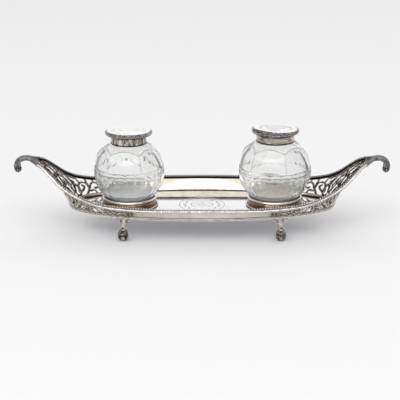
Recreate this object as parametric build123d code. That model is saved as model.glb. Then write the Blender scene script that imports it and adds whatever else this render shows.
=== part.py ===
from build123d import *
import math
import os

# Desk inkstand: a boat-shaped tray on four claw-and-ball feet, with a pierced gallery that rises
# into a curled handle at each end, and two cut-glass bottles with hinged lids in holder rings.
# Millimetres. The origin is on the table under the middle of the tray, +X along the tray,
# +Y to the back and +Z up.

# ---- Tray and gallery ----
FOOT_HEIGHT = 18.9
FLOOR_LENGTH = 212.6
FLOOR_WIDTH = 80.6
FLOOR_THICKNESS = 1.1
WALL_THICKNESS = 1.2
PLAIN_HALF_LENGTH = 51.5   # the wall is plain to here and pierced beyond
RAIL_WIDTH = 2.4
RAIL_HEIGHT = 2.3
RAIL_SEAT = 0.06           # film of solder under the rail
MEDALLION_RADIUS = 18.35
MEDALLION_INNER_RADIUS = 9.1
ENGRAVED_LINE = 0.6
ENGRAVED_DEPTH = 0.2

# Round a quarter of the tray, from the middle of a long side (0 degrees) to the prow (90):
# the angle on the floor's oval, the wall's flare outwards, its rise, and the hollow of its flare.
GALLERY = (
    (0.0, 7.1, 8.6, 0.2),
    (30.0, 9.9, 8.7, 0.4),
    (45.0, 10.7, 9.9, 0.8),
    (60.0, 10.0, 13.8, 1.4),
    (67.5, 11.3, 17.0, 2.0),
    (75.0, 14.8, 22.7, 2.8),
    (80.0, 18.4, 28.6, 3.6),
    (85.0, 24.1, 34.7, 4.2),
    (90.0, 34.7, 37.8, 4.8),
)

# Openings pierced through the wall: angle on the oval, height as a share of the wall's slope,
# radius, and length up the slope. A length of 0 is a round opening.
PIERCINGS = (
    (34.0, 0.50, 2.7, 0.0),
    (38.5, 0.27, 1.3, 0.0),
    (38.5, 0.75, 1.3, 0.0),
    (43.5, 0.50, 3.2, 0.0),
    (49.0, 0.25, 1.4, 0.0),
    (49.0, 0.76, 1.5, 0.0),
    (55.0, 0.50, 3.6, 0.0),
    (61.5, 0.24, 1.5, 0.0),
    (61.5, 0.77, 1.7, 0.0),
    (66.0, 0.50, 1.7, 9.5),
    (71.5, 0.50, 1.8, 12.5),
    (76.5, 0.50, 1.6, 17.0),
    (80.7, 0.52, 1.4, 20.0),
    (84.3, 0.50, 1.1, 15.0),
)

# ---- Handles ----
# Stations of the cast handle from its root in the prow to its bud: (distance beyond the floor's
# end, height above the floor, slope in degrees, width, thickness, dish of the upper face).
HANDLE = (
    (24.7, 36.2, 0.0, 18.4, 2.4, 3.2),
    (29.1, 38.0, 22.0, 10.6, 2.1, 1.2),
    (32.7, 39.0, 6.0, 7.8, 1.9, 0.5),
    (35.9, 38.9, -12.0, 7.0, 2.0, 0.3),
    (38.7, 37.6, -38.0, 6.2, 2.5, 0.2),
    (40.5, 34.9, -70.0, 5.4, 3.5, 0.1),
    (40.6, 32.0, -96.0, 4.8, 4.4, 0.1),
)
BUD_REACH = 40.1           # beyond the floor's end
BUD_HEIGHT = 29.9
BUD_RADIUS = 2.65

# ---- Feet ----
FOOT_END_INSET = 44.1      # from the floor's end to the middle of each ball
FOOT_SIDE_INSET = 9.3      # from the floor's long side to the middle of each ball
LEG_TURN = 38.0            # each leg strides this far towards its end of the tray
BRACKET_TURN = 15.0        # each bracket follows the edge of the oval
BALL_RADIUS = 3.75
BALL_FLAT = 0.25           # worn flat on which each ball rests
TALON_RADIUS = 0.6
TALONS = 4
LEG_TOP_RADIUS = 2.1
LEG_KNEE_RADIUS = 1.75
LEG_ANKLE_RADIUS = 1.5
LEG_ROOT_SWELL = 0.8       # the leg spreads by this much where it joins the ball
ANKLE_GAP = 0.6            # between the ball's top and the narrowest part of the leg
STRIDE = 2.2               # the leg's top stands this far inboard of its ball
BRACKET_WIDTH = 13.7
BRACKET_HEIGHT = 6.0
BRACKET_EDGE = 1.1
BRACKET_THICKNESS = 1.7
BRACKET_HOLE_RADIUS = 0.9
PAD_RADIUS = 3.8
PAD_THICKNESS = 0.9

# ---- Bottles and their holder rings ----
BOTTLE_END_INSET = 48.1        # from the floor's end to each bottle's axis
# The two bottles are blown and cut by hand: radius of the round body, radius of its neck collar.
BOTTLE_SIZES = {"left": (27.8, 14.1), "right": (28.6, 15.0)}
BOTTLE_BASE_RADIUS = 19.9
BOTTLE_BASE_HEIGHT = 8.2
GLASS_WALL = 4.3
GLASS_BOTTOM = 7.5
NECK_RADIUS = 12.0
NECK_BORE_RADIUS = 8.5
PANELS = 6
PANEL_TURNS = {"left": 23.0, "right": 16.0}   # from the tray's right end to a panel's middle
PANEL_DEPTH = 1.6
PANEL_TOP = 20.0               # above the middle of the body
GIRDLE_TOP = 4.9
GIRDLE_BOTTOM = -0.4
LOWER_FLUTES = 16
LOWER_FLUTE_DEPTH = 0.4
LOWER_FLUTE_BOTTOM = -13.0
MITRE_DEPTH = 0.6
HOLDER_HEIGHT = 8.0
HOLDER_CLEARANCE = 0.4
HOLDER_WALL = 1.5
HOLDER_FOOT_FLARE = 1.2
HOLDER_FOOT_HEIGHT = 1.4
HOLDER_WAIST = 0.7
HOLDER_LIP = 0.8

# ---- Neck collars, lids and hinges ----
COLLAR_HEIGHT = 7.8            # from its seat on the glass to its top
COLLAR_WALL = 0.7
COLLAR_LIP_REACH = 3.2         # the flat top turns in over the glass by this much
COLLAR_FOOT_FLARE = 0.9
COLLAR_FOOT_HEIGHT = 1.3
LID_GAP = 0.1
LID_RADIUS = 18.8
LID_PLATE = 0.8
LID_DOME_HEIGHT = 1.4
LID_DOME_RADIUS = 13.0
LID_MOULDING_HEIGHT = 1.4
LID_MOULDING_WIDTH = 2.0
LID_EDGE_STEP = 0.2            # the moulding stands out past the plate by this much
PIN_RADIUS = 0.6
PIN_CLEARANCE = 0.05
PIN_HEAD_RADIUS = 1.0
PIN_HEAD_LENGTH = 0.4
KNUCKLE_RADIUS = 1.5
COLLAR_KNUCKLE_LENGTH = 2.8
LID_KNUCKLE_LENGTH = 3.0
KNUCKLE_GAP = 0.1
HINGE_STAND_OFF = 0.2          # between the knuckles and the lid's edge
LEAF_THICKNESS = 1.6
LEAF_CLEARANCE = 0.3

FLOOR_TOP = FOOT_HEIGHT + FLOOR_THICKNESS
FLOOR_END = FLOOR_LENGTH / 2
HANDLE_ROOT_X = FLOOR_END + HANDLE[0][0]
BOTTLE_X = FLOOR_END - BOTTLE_END_INSET
BIG = 400.0                    # larger than the whole inkstand, for cutters


def floor_point(angle):
    """Point on the floor's oval; the angle runs from the middle of the back side."""
    turn = math.radians(angle)
    return FLOOR_END * math.sin(turn), FLOOR_WIDTH / 2 * math.cos(turn)


def outward(angle):
    """Unit vector square to the floor's oval at that angle."""
    turn = math.radians(angle)
    along = math.sin(turn) / FLOOR_END
    across = math.cos(turn) / (FLOOR_WIDTH / 2)
    size = math.hypot(along, across)
    return along / size, across / size


def wall_vector(angle, out, up):
    """Point at a distance outside the floor's oval and above the floor's top."""
    x, y = floor_point(angle)
    nx, ny = outward(angle)
    return Vector(x + nx * out, y + ny * out, FLOOR_TOP + up)


def slant_thickness(flare, rise):
    """Horizontal thickness of the leaning wall."""
    return WALL_THICKNESS * math.hypot(flare, rise) / rise


def wall_section(angle, flare, rise, hollow):
    """Upright slice through the wall: two arcs that lean outwards, closed at foot and top."""
    lean = math.hypot(flare, rise)
    step = slant_thickness(flare, rise)
    mid_out = flare / 2 - hollow * rise / lean
    mid_up = rise / 2 + hollow * flare / lean
    foot = wall_vector(angle, 0, 0)
    top = wall_vector(angle, flare, rise)
    inner_top = wall_vector(angle, flare - step, rise)
    inner_foot = wall_vector(angle, -step, 0)
    outer = ThreePointArc(foot, wall_vector(angle, mid_out, mid_up), top)
    inner = ThreePointArc(inner_top, wall_vector(angle, mid_out - step, mid_up), inner_foot)
    return Face(Wire([outer, Line(top, inner_top), inner, Line(inner_foot, foot)]))


def rail_section(angle, flare, rise, hollow):
    """Upright slice through the rim's moulding, flat where it sits on the wall."""
    middle = flare - slant_thickness(flare, rise) / 2
    seat = rise + RAIL_SEAT
    low_out = wall_vector(angle, middle + RAIL_WIDTH / 2, seat)
    low_in = wall_vector(angle, middle - RAIL_WIDTH / 2, seat)
    crown = ThreePointArc(low_out, wall_vector(angle, middle, seat + RAIL_HEIGHT), low_in)
    return Face(Wire([crown, Line(low_in, low_out)]))


def all_stations():
    """The gallery's stations from the left prow along the back to the right prow."""
    left = [(-angle, *rest) for angle, *rest in reversed(GALLERY[1:])]
    return left + list(GALLERY)


def slab(x_low, x_high):
    """A block between two upright planes across the tray."""
    return Pos((x_low + x_high) / 2, 0, 0) * Box(x_high - x_low, BIG, BIG)


def gallery_at(angle):
    """Flare and rise of the wall at any angle, in line between its stations."""
    for near, far in zip(GALLERY, GALLERY[1:]):
        if angle <= far[0]:
            share = (angle - near[0]) / (far[0] - near[0])
            return [a + (b - a) * share for a, b in zip(near[1:], far[1:])]
    return GALLERY[-1][1:]


def piercing(angle, height, radius, length):
    """Cutter for one opening, square to the wall; long ones lie up the wall's slope."""
    flare, rise, hollow = gallery_at(angle)
    lean = math.hypot(flare, rise)
    nx, ny = outward(angle)
    bulge = 4 * height * (1 - height) * hollow
    out = flare * height - bulge * rise / lean - slant_thickness(flare, rise) / 2
    centre = wall_vector(angle, out, rise * height + bulge * flare / lean)
    up_slope = Vector(nx * flare, ny * flare, rise)
    through = Vector(nx * rise, ny * rise, -flare)
    place = Plane(origin=centre, x_dir=up_slope, z_dir=through)
    if length:
        outline = SlotOverall(length, 2 * radius)
    else:
        outline = Circle(radius)
    return extrude(place * outline, amount=4 * WALL_THICKNESS, both=True)


def make_gallery():
    """Wall panels, pierced ends and rim rails."""
    wall = loft([wall_section(*station) for station in all_stations()])
    rail = loft([rail_section(*station) for station in all_stations()])
    ends = slab(PLAIN_HALF_LENGTH, HANDLE_ROOT_X)
    middle = slab(-PLAIN_HALF_LENGTH, PLAIN_HALF_LENGTH)
    back_panel = wall & middle
    back_rim = rail & slab(-HANDLE_ROOT_X, HANDLE_ROOT_X)
    back_end = wall & ends
    for opening in PIERCINGS:
        back_end -= piercing(*opening)
    right_end = back_end + mirror(back_end, Plane.XZ)
    return {
        "gallery_panel_back": back_panel,
        "gallery_panel_front": mirror(back_panel, Plane.XZ),
        "gallery_end_right": right_end,
        "gallery_end_left": mirror(right_end, Plane.YZ),
        "rim_back": back_rim,
        "rim_front": mirror(back_rim, Plane.XZ),
    }


def make_floor():
    """Oval plate with a wreath and an inner circle engraved round its middle."""
    plate = Pos(0, 0, FOOT_HEIGHT) * extrude(Ellipse(FLOOR_END, FLOOR_WIDTH / 2), FLOOR_THICKNESS)
    for radius in (MEDALLION_RADIUS, MEDALLION_INNER_RADIUS):
        line = Circle(radius) - Circle(radius - ENGRAVED_LINE)
        plate -= Pos(0, 0, FLOOR_TOP - ENGRAVED_DEPTH) * extrude(line, FLOOR_THICKNESS)
    return plate


def handle_section(reach, height, slope, width, thickness, dish):
    """Slice square to the handle's run, hollowed along its upper face."""
    turn = math.radians(slope)
    run = Vector(math.cos(turn), 0, math.sin(turn))
    place = Plane(origin=(FLOOR_END + reach, 0, FLOOR_TOP + height), x_dir=(0, 1, 0), z_dir=run)
    half = width / 2
    edge = thickness / 2
    outline = [
        ThreePointArc((-half, edge), (0, edge - dish), (half, edge)),
        Line((half, edge), (half, -edge)),
        ThreePointArc((half, -edge), (0, -edge - dish), (-half, -edge)),
        Line((-half, -edge), (-half, edge)),
    ]
    return place * Face(Wire(outline))


def make_handle():
    """Strap that grows out of the prow's cut end, arches over and ends in a hanging bud."""
    strap = loft([handle_section(*station) for station in HANDLE])
    bud = Pos(FLOOR_END + BUD_REACH, 0, FLOOR_TOP + BUD_HEIGHT) * Sphere(BUD_RADIUS)
    return strap + bud


def make_claw():
    """Ball, talons and leg, striding towards -Y, with the ball's centre over the local origin."""
    centre = BALL_RADIUS - BALL_FLAT
    ball = Pos(0, 0, centre) * Sphere(BALL_RADIUS)
    ball -= Pos(0, 0, -BALL_RADIUS) * Box(BIG, BIG, 2 * BALL_RADIUS)
    ankle = centre + BALL_RADIUS + ANKLE_GAP
    knee = (ankle + FOOT_HEIGHT) / 2
    claw = ball + loft([
        Pos(0, 0, centre + BALL_RADIUS * 0.75) * Circle(LEG_ANKLE_RADIUS + LEG_ROOT_SWELL),
        Pos(0, 0, ankle) * Circle(LEG_ANKLE_RADIUS),
        Pos(0, STRIDE * 0.4, knee) * Circle(LEG_KNEE_RADIUS),
        Pos(0, STRIDE, FOOT_HEIGHT) * Circle(LEG_TOP_RADIUS),
    ])
    arc = revolve(Pos(BALL_RADIUS + TALON_RADIUS * 0.3, 0) * Circle(TALON_RADIUS), Axis.Y, 105)
    talon = Rot(0, 15, 0) * mirror(arc, Plane.XY)
    for number in range(TALONS):
        claw += Pos(0, 0, centre) * Rot(0, 0, 45 + number * 360 / TALONS) * talon
    return claw


def make_bracket():
    """Winged plate with two eyes that spreads the leg's top under the tray, in the XZ plane."""
    half = BRACKET_WIDTH / 2
    neck = LEG_TOP_RADIUS * 0.8
    edge = (half, -BRACKET_EDGE)
    bend = (half * 0.45, -BRACKET_HEIGHT * 0.45)
    outline = [
        Line((-half, 0), (half, 0)),
        Line((half, 0), edge),
        ThreePointArc(edge, bend, (neck, -BRACKET_HEIGHT)),
        Line((neck, -BRACKET_HEIGHT), (-neck, -BRACKET_HEIGHT)),
        ThreePointArc((-neck, -BRACKET_HEIGHT), (-bend[0], bend[1]), (-half, edge[1])),
        Line((-half, edge[1]), (-half, 0)),
    ]
    face = Plane.XZ * Face(Wire(outline))
    plate = extrude(face, BRACKET_THICKNESS / 2, both=True)
    for side in (-1, 1):
        eye = Pos(side * (neck + BRACKET_HOLE_RADIUS * 0.6), 0, -BRACKET_HEIGHT * 0.42)
        plate -= eye * Rot(90, 0, 0) * Cylinder(BRACKET_HOLE_RADIUS, BIG)
    pad = Pos(0, 0, -PAD_THICKNESS) * extrude(Circle(PAD_RADIUS), PAD_THICKNESS)
    return Pos(0, 0, FOOT_HEIGHT) * (plate + pad)


def make_feet():
    """Four feet under the tray's long sides, each striding towards its own end."""
    turn = math.radians(LEG_TURN)
    top = Pos(-STRIDE * math.sin(turn), STRIDE * math.cos(turn), 0)
    foot = Rot(0, 0, LEG_TURN) * make_claw() + top * Rot(0, 0, BRACKET_TURN) * make_bracket()
    front_right = Pos(FLOOR_END - FOOT_END_INSET, FOOT_SIDE_INSET - FLOOR_WIDTH / 2, 0) * foot
    front_left = mirror(front_right, Plane.YZ)
    return {
        "foot_front_right": front_right,
        "foot_front_left": front_left,
        "foot_back_right": mirror(front_right, Plane.XZ),
        "foot_back_left": mirror(front_left, Plane.XZ),
    }


def turned(points):
    """Solid of revolution about the upright axis from a closed outline of (radius, height)."""
    return revolve(make_face(Plane.XZ * Polyline([*points, points[0]])), Axis.Z)


def make_holder():
    """Waisted ring that holds a bottle's base."""
    bore = BOTTLE_BASE_RADIUS + HOLDER_CLEARANCE
    outside = bore + HOLDER_WALL
    foot = outside + HOLDER_FOOT_FLARE
    low = (outside, HOLDER_FOOT_HEIGHT)
    high = (outside, HOLDER_HEIGHT - HOLDER_LIP)
    outline = [
        Line((bore, 0), (foot, 0)),
        Line((foot, 0), (foot, HOLDER_FOOT_HEIGHT / 2)),
        Line((foot, HOLDER_FOOT_HEIGHT / 2), low),
        ThreePointArc(low, (outside - HOLDER_WAIST, (low[1] + high[1]) / 2), high),
        Line(high, (outside, HOLDER_HEIGHT)),
        Line((outside, HOLDER_HEIGHT), (bore, HOLDER_HEIGHT)),
        Line((bore, HOLDER_HEIGHT), (bore, 0)),
    ]
    return revolve(Face(Plane.XZ * Wire(outline)), Axis.Z)


def middle_height(body):
    """Height of the round body's centre above the floor: it sits on the bottle's straight base."""
    return BOTTLE_BASE_HEIGHT + math.sqrt(body**2 - BOTTLE_BASE_RADIUS**2)


def shoulder_height(body, radius):
    """Height of the bottle's shoulder above the floor, at a distance from its axis."""
    return middle_height(body) + math.sqrt(body**2 - radius**2)


def collar_top(body, collar):
    return shoulder_height(body, collar + COLLAR_FOOT_FLARE) + COLLAR_HEIGHT


def round_body(body):
    return Pos(0, 0, middle_height(body)) * Sphere(body)


def cut_band(body, low, high, sides=0, depth=0.0, turn=0.0):
    """Slice of the round body between two heights about its middle, cut flat into sides."""
    band = Sphere(body) & Pos(0, 0, (low + high) / 2) * Box(BIG, BIG, high - low)
    for number in range(sides // 2):
        band &= Rot(0, 0, turn + number * 360 / sides) * Rot(90, 0, 0) * Cylinder(body - depth, BIG)
    return band


def make_bottle(body, collar, turn):
    """Hollow round bottle: tall panels above a mitre-cut girdle, small flutes below it."""
    neck_start = math.sqrt(body**2 - NECK_RADIUS**2)
    base_end = -math.sqrt(body**2 - BOTTLE_BASE_RADIUS**2)
    glass = cut_band(body, PANEL_TOP, neck_start)
    glass += cut_band(body, GIRDLE_TOP, PANEL_TOP, PANELS, PANEL_DEPTH, turn)
    glass += cut_band(body, GIRDLE_BOTTOM, GIRDLE_TOP)
    glass += cut_band(body, LOWER_FLUTE_BOTTOM, GIRDLE_BOTTOM, LOWER_FLUTES, LOWER_FLUTE_DEPTH, turn)
    glass += cut_band(body, base_end, LOWER_FLUTE_BOTTOM)
    for height in (GIRDLE_TOP, GIRDLE_BOTTOM):
        radius = math.sqrt(body**2 - height**2)
        glass -= turned([
            (radius + MITRE_DEPTH, height + 2 * MITRE_DEPTH),
            (radius - MITRE_DEPTH, height),
            (radius + MITRE_DEPTH, height - 2 * MITRE_DEPTH),
        ])
    glass = Pos(0, 0, middle_height(body)) * glass
    neck_top = collar_top(body, collar) - COLLAR_WALL
    glass += extrude(Circle(BOTTLE_BASE_RADIUS), BOTTLE_BASE_HEIGHT)
    glass += Pos(0, 0, middle_height(body)) * extrude(Circle(NECK_RADIUS), neck_top - middle_height(body))
    hollow = Pos(0, 0, middle_height(body)) * Sphere(body - GLASS_WALL)
    glass -= hollow & Pos(0, 0, GLASS_BOTTOM + BIG / 2) * Box(BIG, BIG, BIG)
    return glass - Pos(0, 0, middle_height(body)) * extrude(Circle(NECK_BORE_RADIUS), BIG)


def hinge_y():
    return LID_RADIUS + HINGE_STAND_OFF + KNUCKLE_RADIUS


def on_hinge(top, piece):
    """Lay a piece that runs along Z onto the hinge's axis behind a collar with that top."""
    return Pos(0, hinge_y(), top - LEAF_CLEARANCE) * Rot(0, 90, 0) * piece


def hinge_length():
    return LID_KNUCKLE_LENGTH + 2 * (COLLAR_KNUCKLE_LENGTH + KNUCKLE_GAP)


def pin_bore(top):
    return on_hinge(top, Cylinder(PIN_RADIUS + PIN_CLEARANCE, hinge_length() + 1))


def make_collar(body, collar):
    """Thin band on the bottle's shoulder, turned in over the neck, with two hinge knuckles."""
    inside = collar - COLLAR_WALL
    foot = collar + COLLAR_FOOT_FLARE
    low = shoulder_height(body, foot)
    top = collar_top(body, collar)
    band = turned([
        (inside, low),
        (foot, low),
        (foot, low + COLLAR_FOOT_HEIGHT / 2),
        (collar, low + COLLAR_FOOT_HEIGHT),
        (collar, top),
        (inside - COLLAR_LIP_REACH, top),
        (inside - COLLAR_LIP_REACH, top - COLLAR_WALL),
        (inside, top - COLLAR_WALL),
    ])
    band -= round_body(body)
    offset = (hinge_length() - COLLAR_KNUCKLE_LENGTH) / 2
    reach = hinge_y() - (collar - COLLAR_WALL / 2)
    leaf_middle = top - LEAF_CLEARANCE - LEAF_THICKNESS / 2
    for side in (-1, 1):
        leaf = Pos(side * offset, hinge_y() - reach / 2, leaf_middle)
        band += leaf * Box(COLLAR_KNUCKLE_LENGTH, reach, LEAF_THICKNESS)
        band += on_hinge(top, Pos(0, 0, side * offset) * Cylinder(KNUCKLE_RADIUS, COLLAR_KNUCKLE_LENGTH))
    return band - pin_bore(top)


def make_cement(body, collar):
    """Plaster that fills the space between the glass neck and the collar."""
    inside = collar - COLLAR_WALL
    low = shoulder_height(body, inside)
    high = collar_top(body, collar) - COLLAR_WALL
    fill = turned([(NECK_RADIUS, low), (inside, low), (inside, high), (NECK_RADIUS, high)])
    return fill - round_body(body)


def make_lid(body, collar):
    """Low domed plate with its own knuckle between the collar's two."""
    top = collar_top(body, collar)
    low = top + LID_GAP
    inner = LID_RADIUS - LID_MOULDING_WIDTH
    rise = LID_DOME_HEIGHT
    crown = (LID_DOME_RADIUS**2 + rise**2) / (2 * rise)
    flat = low + LID_PLATE + LID_MOULDING_HEIGHT
    lid = Pos(0, 0, low) * extrude(Circle(LID_RADIUS - LID_EDGE_STEP), LID_PLATE)
    lid += Pos(0, 0, low) * extrude(Circle(inner), LID_PLATE + LID_MOULDING_HEIGHT)
    dome = Pos(0, 0, flat + rise - crown) * Sphere(crown)
    lid += dome & Pos(0, 0, low) * extrude(Circle(inner), BIG)
    reach = hinge_y() - LID_RADIUS / 2
    tab = Pos(0, hinge_y() - reach / 2, low + LID_PLATE / 2)
    lid += tab * Box(LID_KNUCKLE_LENGTH, reach, LID_PLATE)
    lid += on_hinge(top, Cylinder(KNUCKLE_RADIUS, LID_KNUCKLE_LENGTH))
    return lid - pin_bore(top)


def make_lid_moulding(body, collar):
    """Half-round ring on the lid's edge."""
    low = collar_top(body, collar) + LID_GAP + LID_PLATE
    high = low + LID_MOULDING_HEIGHT
    inner = LID_RADIUS - LID_MOULDING_WIDTH
    round_start = LID_RADIUS - LID_MOULDING_HEIGHT / 2
    outline = [
        Line((inner, high), (inner, low)),
        Line((inner, low), (round_start, low)),
        ThreePointArc((round_start, low), (LID_RADIUS, (low + high) / 2), (round_start, high)),
        Line((round_start, high), (inner, high)),
    ]
    return revolve(Face(Plane.XZ * Wire(outline)), Axis.Z)


def make_pin(body, collar):
    """Hinge pin with a small peened head at each end."""
    pin = Cylinder(PIN_RADIUS, hinge_length())
    for side in (-1, 1):
        middle = side * (hinge_length() + PIN_HEAD_LENGTH) / 2
        pin += Pos(0, 0, middle) * Cylinder(PIN_HEAD_RADIUS, PIN_HEAD_LENGTH)
    return on_hinge(collar_top(body, collar), pin)


def build():
    """Every piece of the inkstand by name."""
    pieces = {"tray_floor": make_floor()}
    pieces.update(make_gallery())
    pieces["handle_right"] = make_handle()
    pieces["handle_left"] = mirror(pieces["handle_right"], Plane.YZ)
    pieces.update(make_feet())
    for side, x in (("left", -BOTTLE_X), ("right", BOTTLE_X)):
        size = BOTTLE_SIZES[side]
        bottle_set = {
            "holder_ring": make_holder(),
            "bottle": make_bottle(*size, PANEL_TURNS[side]),
            "neck_collar": make_collar(*size),
            "collar_cement": make_cement(*size),
            "lid": make_lid(*size),
            "lid_moulding": make_lid_moulding(*size),
            "hinge_pin": make_pin(*size),
        }
        for name, piece in bottle_set.items():
            pieces[f"{name}_{side}"] = Pos(x, 0, FLOOR_TOP) * piece
    return pieces


os.makedirs("parts", exist_ok=True)
for name, piece in build().items():
    export_step(piece, f"parts/{name}.step")
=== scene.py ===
import math

import bmesh
import bpy
import numpy as np
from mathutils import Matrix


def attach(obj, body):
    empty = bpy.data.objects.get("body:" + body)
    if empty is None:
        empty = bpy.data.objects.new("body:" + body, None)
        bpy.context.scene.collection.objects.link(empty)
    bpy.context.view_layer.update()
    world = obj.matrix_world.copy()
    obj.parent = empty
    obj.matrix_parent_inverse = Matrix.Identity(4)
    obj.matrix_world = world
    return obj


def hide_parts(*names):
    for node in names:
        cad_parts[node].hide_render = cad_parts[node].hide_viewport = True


# Desk inkstand: a boat-shaped silver-plated tray with a pierced gallery, curled handles and
# claw-and-ball feet, and two cut-glass ink bottles under hinged lids. Sizes are millimetres,
# turned to metres where a mesh is made.

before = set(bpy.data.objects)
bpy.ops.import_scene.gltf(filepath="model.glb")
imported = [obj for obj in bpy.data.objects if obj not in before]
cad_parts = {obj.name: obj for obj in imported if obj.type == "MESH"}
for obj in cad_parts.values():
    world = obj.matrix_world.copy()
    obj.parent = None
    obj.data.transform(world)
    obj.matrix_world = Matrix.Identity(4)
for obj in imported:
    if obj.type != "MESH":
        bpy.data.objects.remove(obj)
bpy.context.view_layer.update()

MM = 0.001

# ---- Tray and gallery ----
HALF_LENGTH = 106.3
HALF_WIDTH = 40.3
FLOOR_UNDERSIDE = 18.9
FLOOR_TOP = 20.0
WALL_THICKNESS = 1.2
PLAIN_HALF_LENGTH = 51.5
PLAIN_END = math.degrees(math.asin(PLAIN_HALF_LENGTH / HALF_LENGTH))
HANDLE_ROOT_X = 131.0

# Round a quarter of the tray, from the middle of a long side to the prow: the angle on the
# floor's oval, the wall's flare outwards, its rise, and the hollow of its flare. The first and
# the last station stand past the quarter, as its mirror images.
GALLERY = (
    (-30.0, 9.9, 8.7, 0.4),
    (0.0, 7.1, 8.6, 0.2),
    (30.0, 9.9, 8.7, 0.4),
    (45.0, 10.7, 9.9, 0.8),
    (60.0, 10.0, 13.8, 1.4),
    (67.5, 11.3, 17.0, 2.0),
    (75.0, 14.8, 22.7, 2.8),
    (80.0, 18.4, 28.6, 3.6),
    (85.0, 24.1, 34.7, 4.2),
    (90.0, 34.7, 37.8, 4.8),
    (95.0, 24.1, 34.7, 4.2),
)
WALL_EDGE_DEPTH = 0.22       # pierced edges are rounded by this share of the wall's thickness
EDGE_ROUND = 0.75            # and over this distance
BASE_BAND = 2.6              # solid band along the foot of the wall
TOP_BAND = 1.0               # solid band under the rim
SCROLL_START = 43.0          # between these angles the wall is open, with scrolls across it
SCROLL_END = 68.2
INNER_DARKENING = 1.15         # the openwork is darker on its inner face
# darkening of the worked ends outside, in a wavy mottle
OUTER_DARKENING = 0.22

# Scrolls and stems of the openwork: half-widths at the start and the end, and points on the
# wall as the angle and the share of the slope.
OPENWORK = (
    (0.8, 0.8, ((59.9, 0.96), (59.5, 0.80), (59.0, 0.60), (59.0, 0.42), (60.2, 0.25), (61.9, 0.10))),
    (0.85, 0.75, ((68.0, 0.08), (66.7, 0.25), (64.6, 0.345), (62.9, 0.44), (62.3, 0.53), (63.6, 0.575))),
    (1.0, 0.9, ((63.2, 0.56), (63.8, 0.58))),
    (0.75, 0.7, ((66.2, 0.29), (67.4, 0.41), (67.2, 0.55), (65.8, 0.66), (63.6, 0.73), (61.6, 0.74),
                 (60.2, 0.67), (59.3, 0.52))),
    (0.75, 0.6, ((65.4, 0.67), (66.8, 0.86), (67.4, 0.97))),
    (0.75, 0.6, ((59.3, 0.36), (58.0, 0.47), (57.1, 0.62), (55.7, 0.74), (53.9, 0.77), (52.4, 0.70),
                 (51.9, 0.57), (52.7, 0.46), (54.0, 0.43))),
    (0.95, 0.9, ((53.9, 0.44), (54.4, 0.46))),
    (0.75, 0.65, ((59.2, 0.33), (57.6, 0.31), (55.6, 0.34), (54.3, 0.28), (53.5, 0.12))),
    (0.65, 0.55, ((54.2, 0.77), (54.8, 0.97))),
    (0.7, 0.7, ((52.0, 0.60), (50.6, 0.46), (49.9, 0.28), (50.5, 0.10))),
    (0.7, 0.6, ((50.3, 0.40), (48.9, 0.60), (47.4, 0.73), (45.9, 0.69), (45.2, 0.53), (46.2, 0.40),
                (47.3, 0.45))),
    (0.9, 0.85, ((47.2, 0.46), (47.6, 0.49))),
    (0.65, 0.55, ((49.8, 0.30), (47.9, 0.22), (46.2, 0.17), (44.6, 0.10))),
    (0.6, 0.5, ((47.5, 0.72), (47.9, 0.97))),
    (0.65, 0.5, ((45.3, 0.57), (44.2, 0.70), (43.2, 0.92))),
    (0.65, 0.5, ((45.4, 0.44), (44.2, 0.33), (42.8, 0.24))),
)

LEAF_WIDER = 0.18            # the pierced leaves are this much wider than listed, on either side
# Openings like leaves and pips: the angle, share of the slope and half-width at their two ends.
LEAF_OPENINGS = (
    (30.9, 0.28, 0.35, 30.4, 0.60, 0.5),
    (33.0, 0.68, 0.60, 32.2, 0.38, 0.5),
    (37.6, 0.50, 0.75, 35.2, 0.58, 0.6),
    (36.9, 0.83, 0.45, 34.4, 0.81, 0.3),
    (36.7, 0.28, 0.50, 34.3, 0.30, 0.35),
    (39.4, 0.74, 0.50, 38.9, 0.52, 0.65),
    (39.9, 0.28, 0.50, 38.6, 0.26, 0.4),
    (41.8, 0.76, 0.65, 41.2, 0.30, 0.5),
    (68.6, 0.75, 0.95, 72.7, 0.80, 0.5),
    (69.4, 0.66, 0.80, 67.4, 0.67, 1.0),
    (70.0, 0.45, 0.95, 70.3, 0.26, 1.0),
    (70.2, 0.24, 0.80, 68.8, 0.21, 0.6),
    (73.0, 0.22, 0.60, 71.9, 0.13, 0.45),
    (73.7, 0.49, 0.80, 74.0, 0.33, 0.55),
    (77.4, 0.73, 0.90, 74.3, 0.56, 0.8),
    (75.8, 0.82, 0.50, 74.3, 0.76, 0.4),
    (81.2, 0.40, 0.95, 75.4, 0.23, 0.6),
    (78.0, 0.49, 0.60, 76.3, 0.41, 0.5),
    (79.6, 0.80, 0.60, 78.2, 0.65, 0.7),
    (82.0, 0.58, 1.00, 80.2, 0.49, 0.6),
    (82.4, 0.72, 0.90, 80.6, 0.66, 0.5),
    (82.8, 0.86, 0.70, 81.0, 0.81, 0.5),
    (83.8, 0.45, 0.60, 84.0, 0.58, 0.9),
    (84.0, 0.28, 0.60, 82.9, 0.35, 0.8),
    (80.2, 0.18, 0.50, 78.0, 0.14, 0.4),
    (84.4, 0.70, 0.80, 84.9, 0.82, 0.6),
    (86.2, 0.38, 0.50, 86.4, 0.52, 0.8),
    (86.4, 0.64, 0.80, 86.7, 0.76, 0.5),
    (86.8, 0.18, 0.60, 86.0, 0.26, 0.7),
    (88.4, 0.32, 0.50, 88.4, 0.44, 0.8),
    (88.5, 0.56, 0.80, 88.6, 0.68, 0.5),
    (87.6, 0.80, 0.60, 87.4, 0.90, 0.4),
)

# ---- Rims ----
BEAD_PITCH = 2.1
BEAD_RADIUS = 0.76
BEAD_HEIGHT = 1.8
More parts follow.
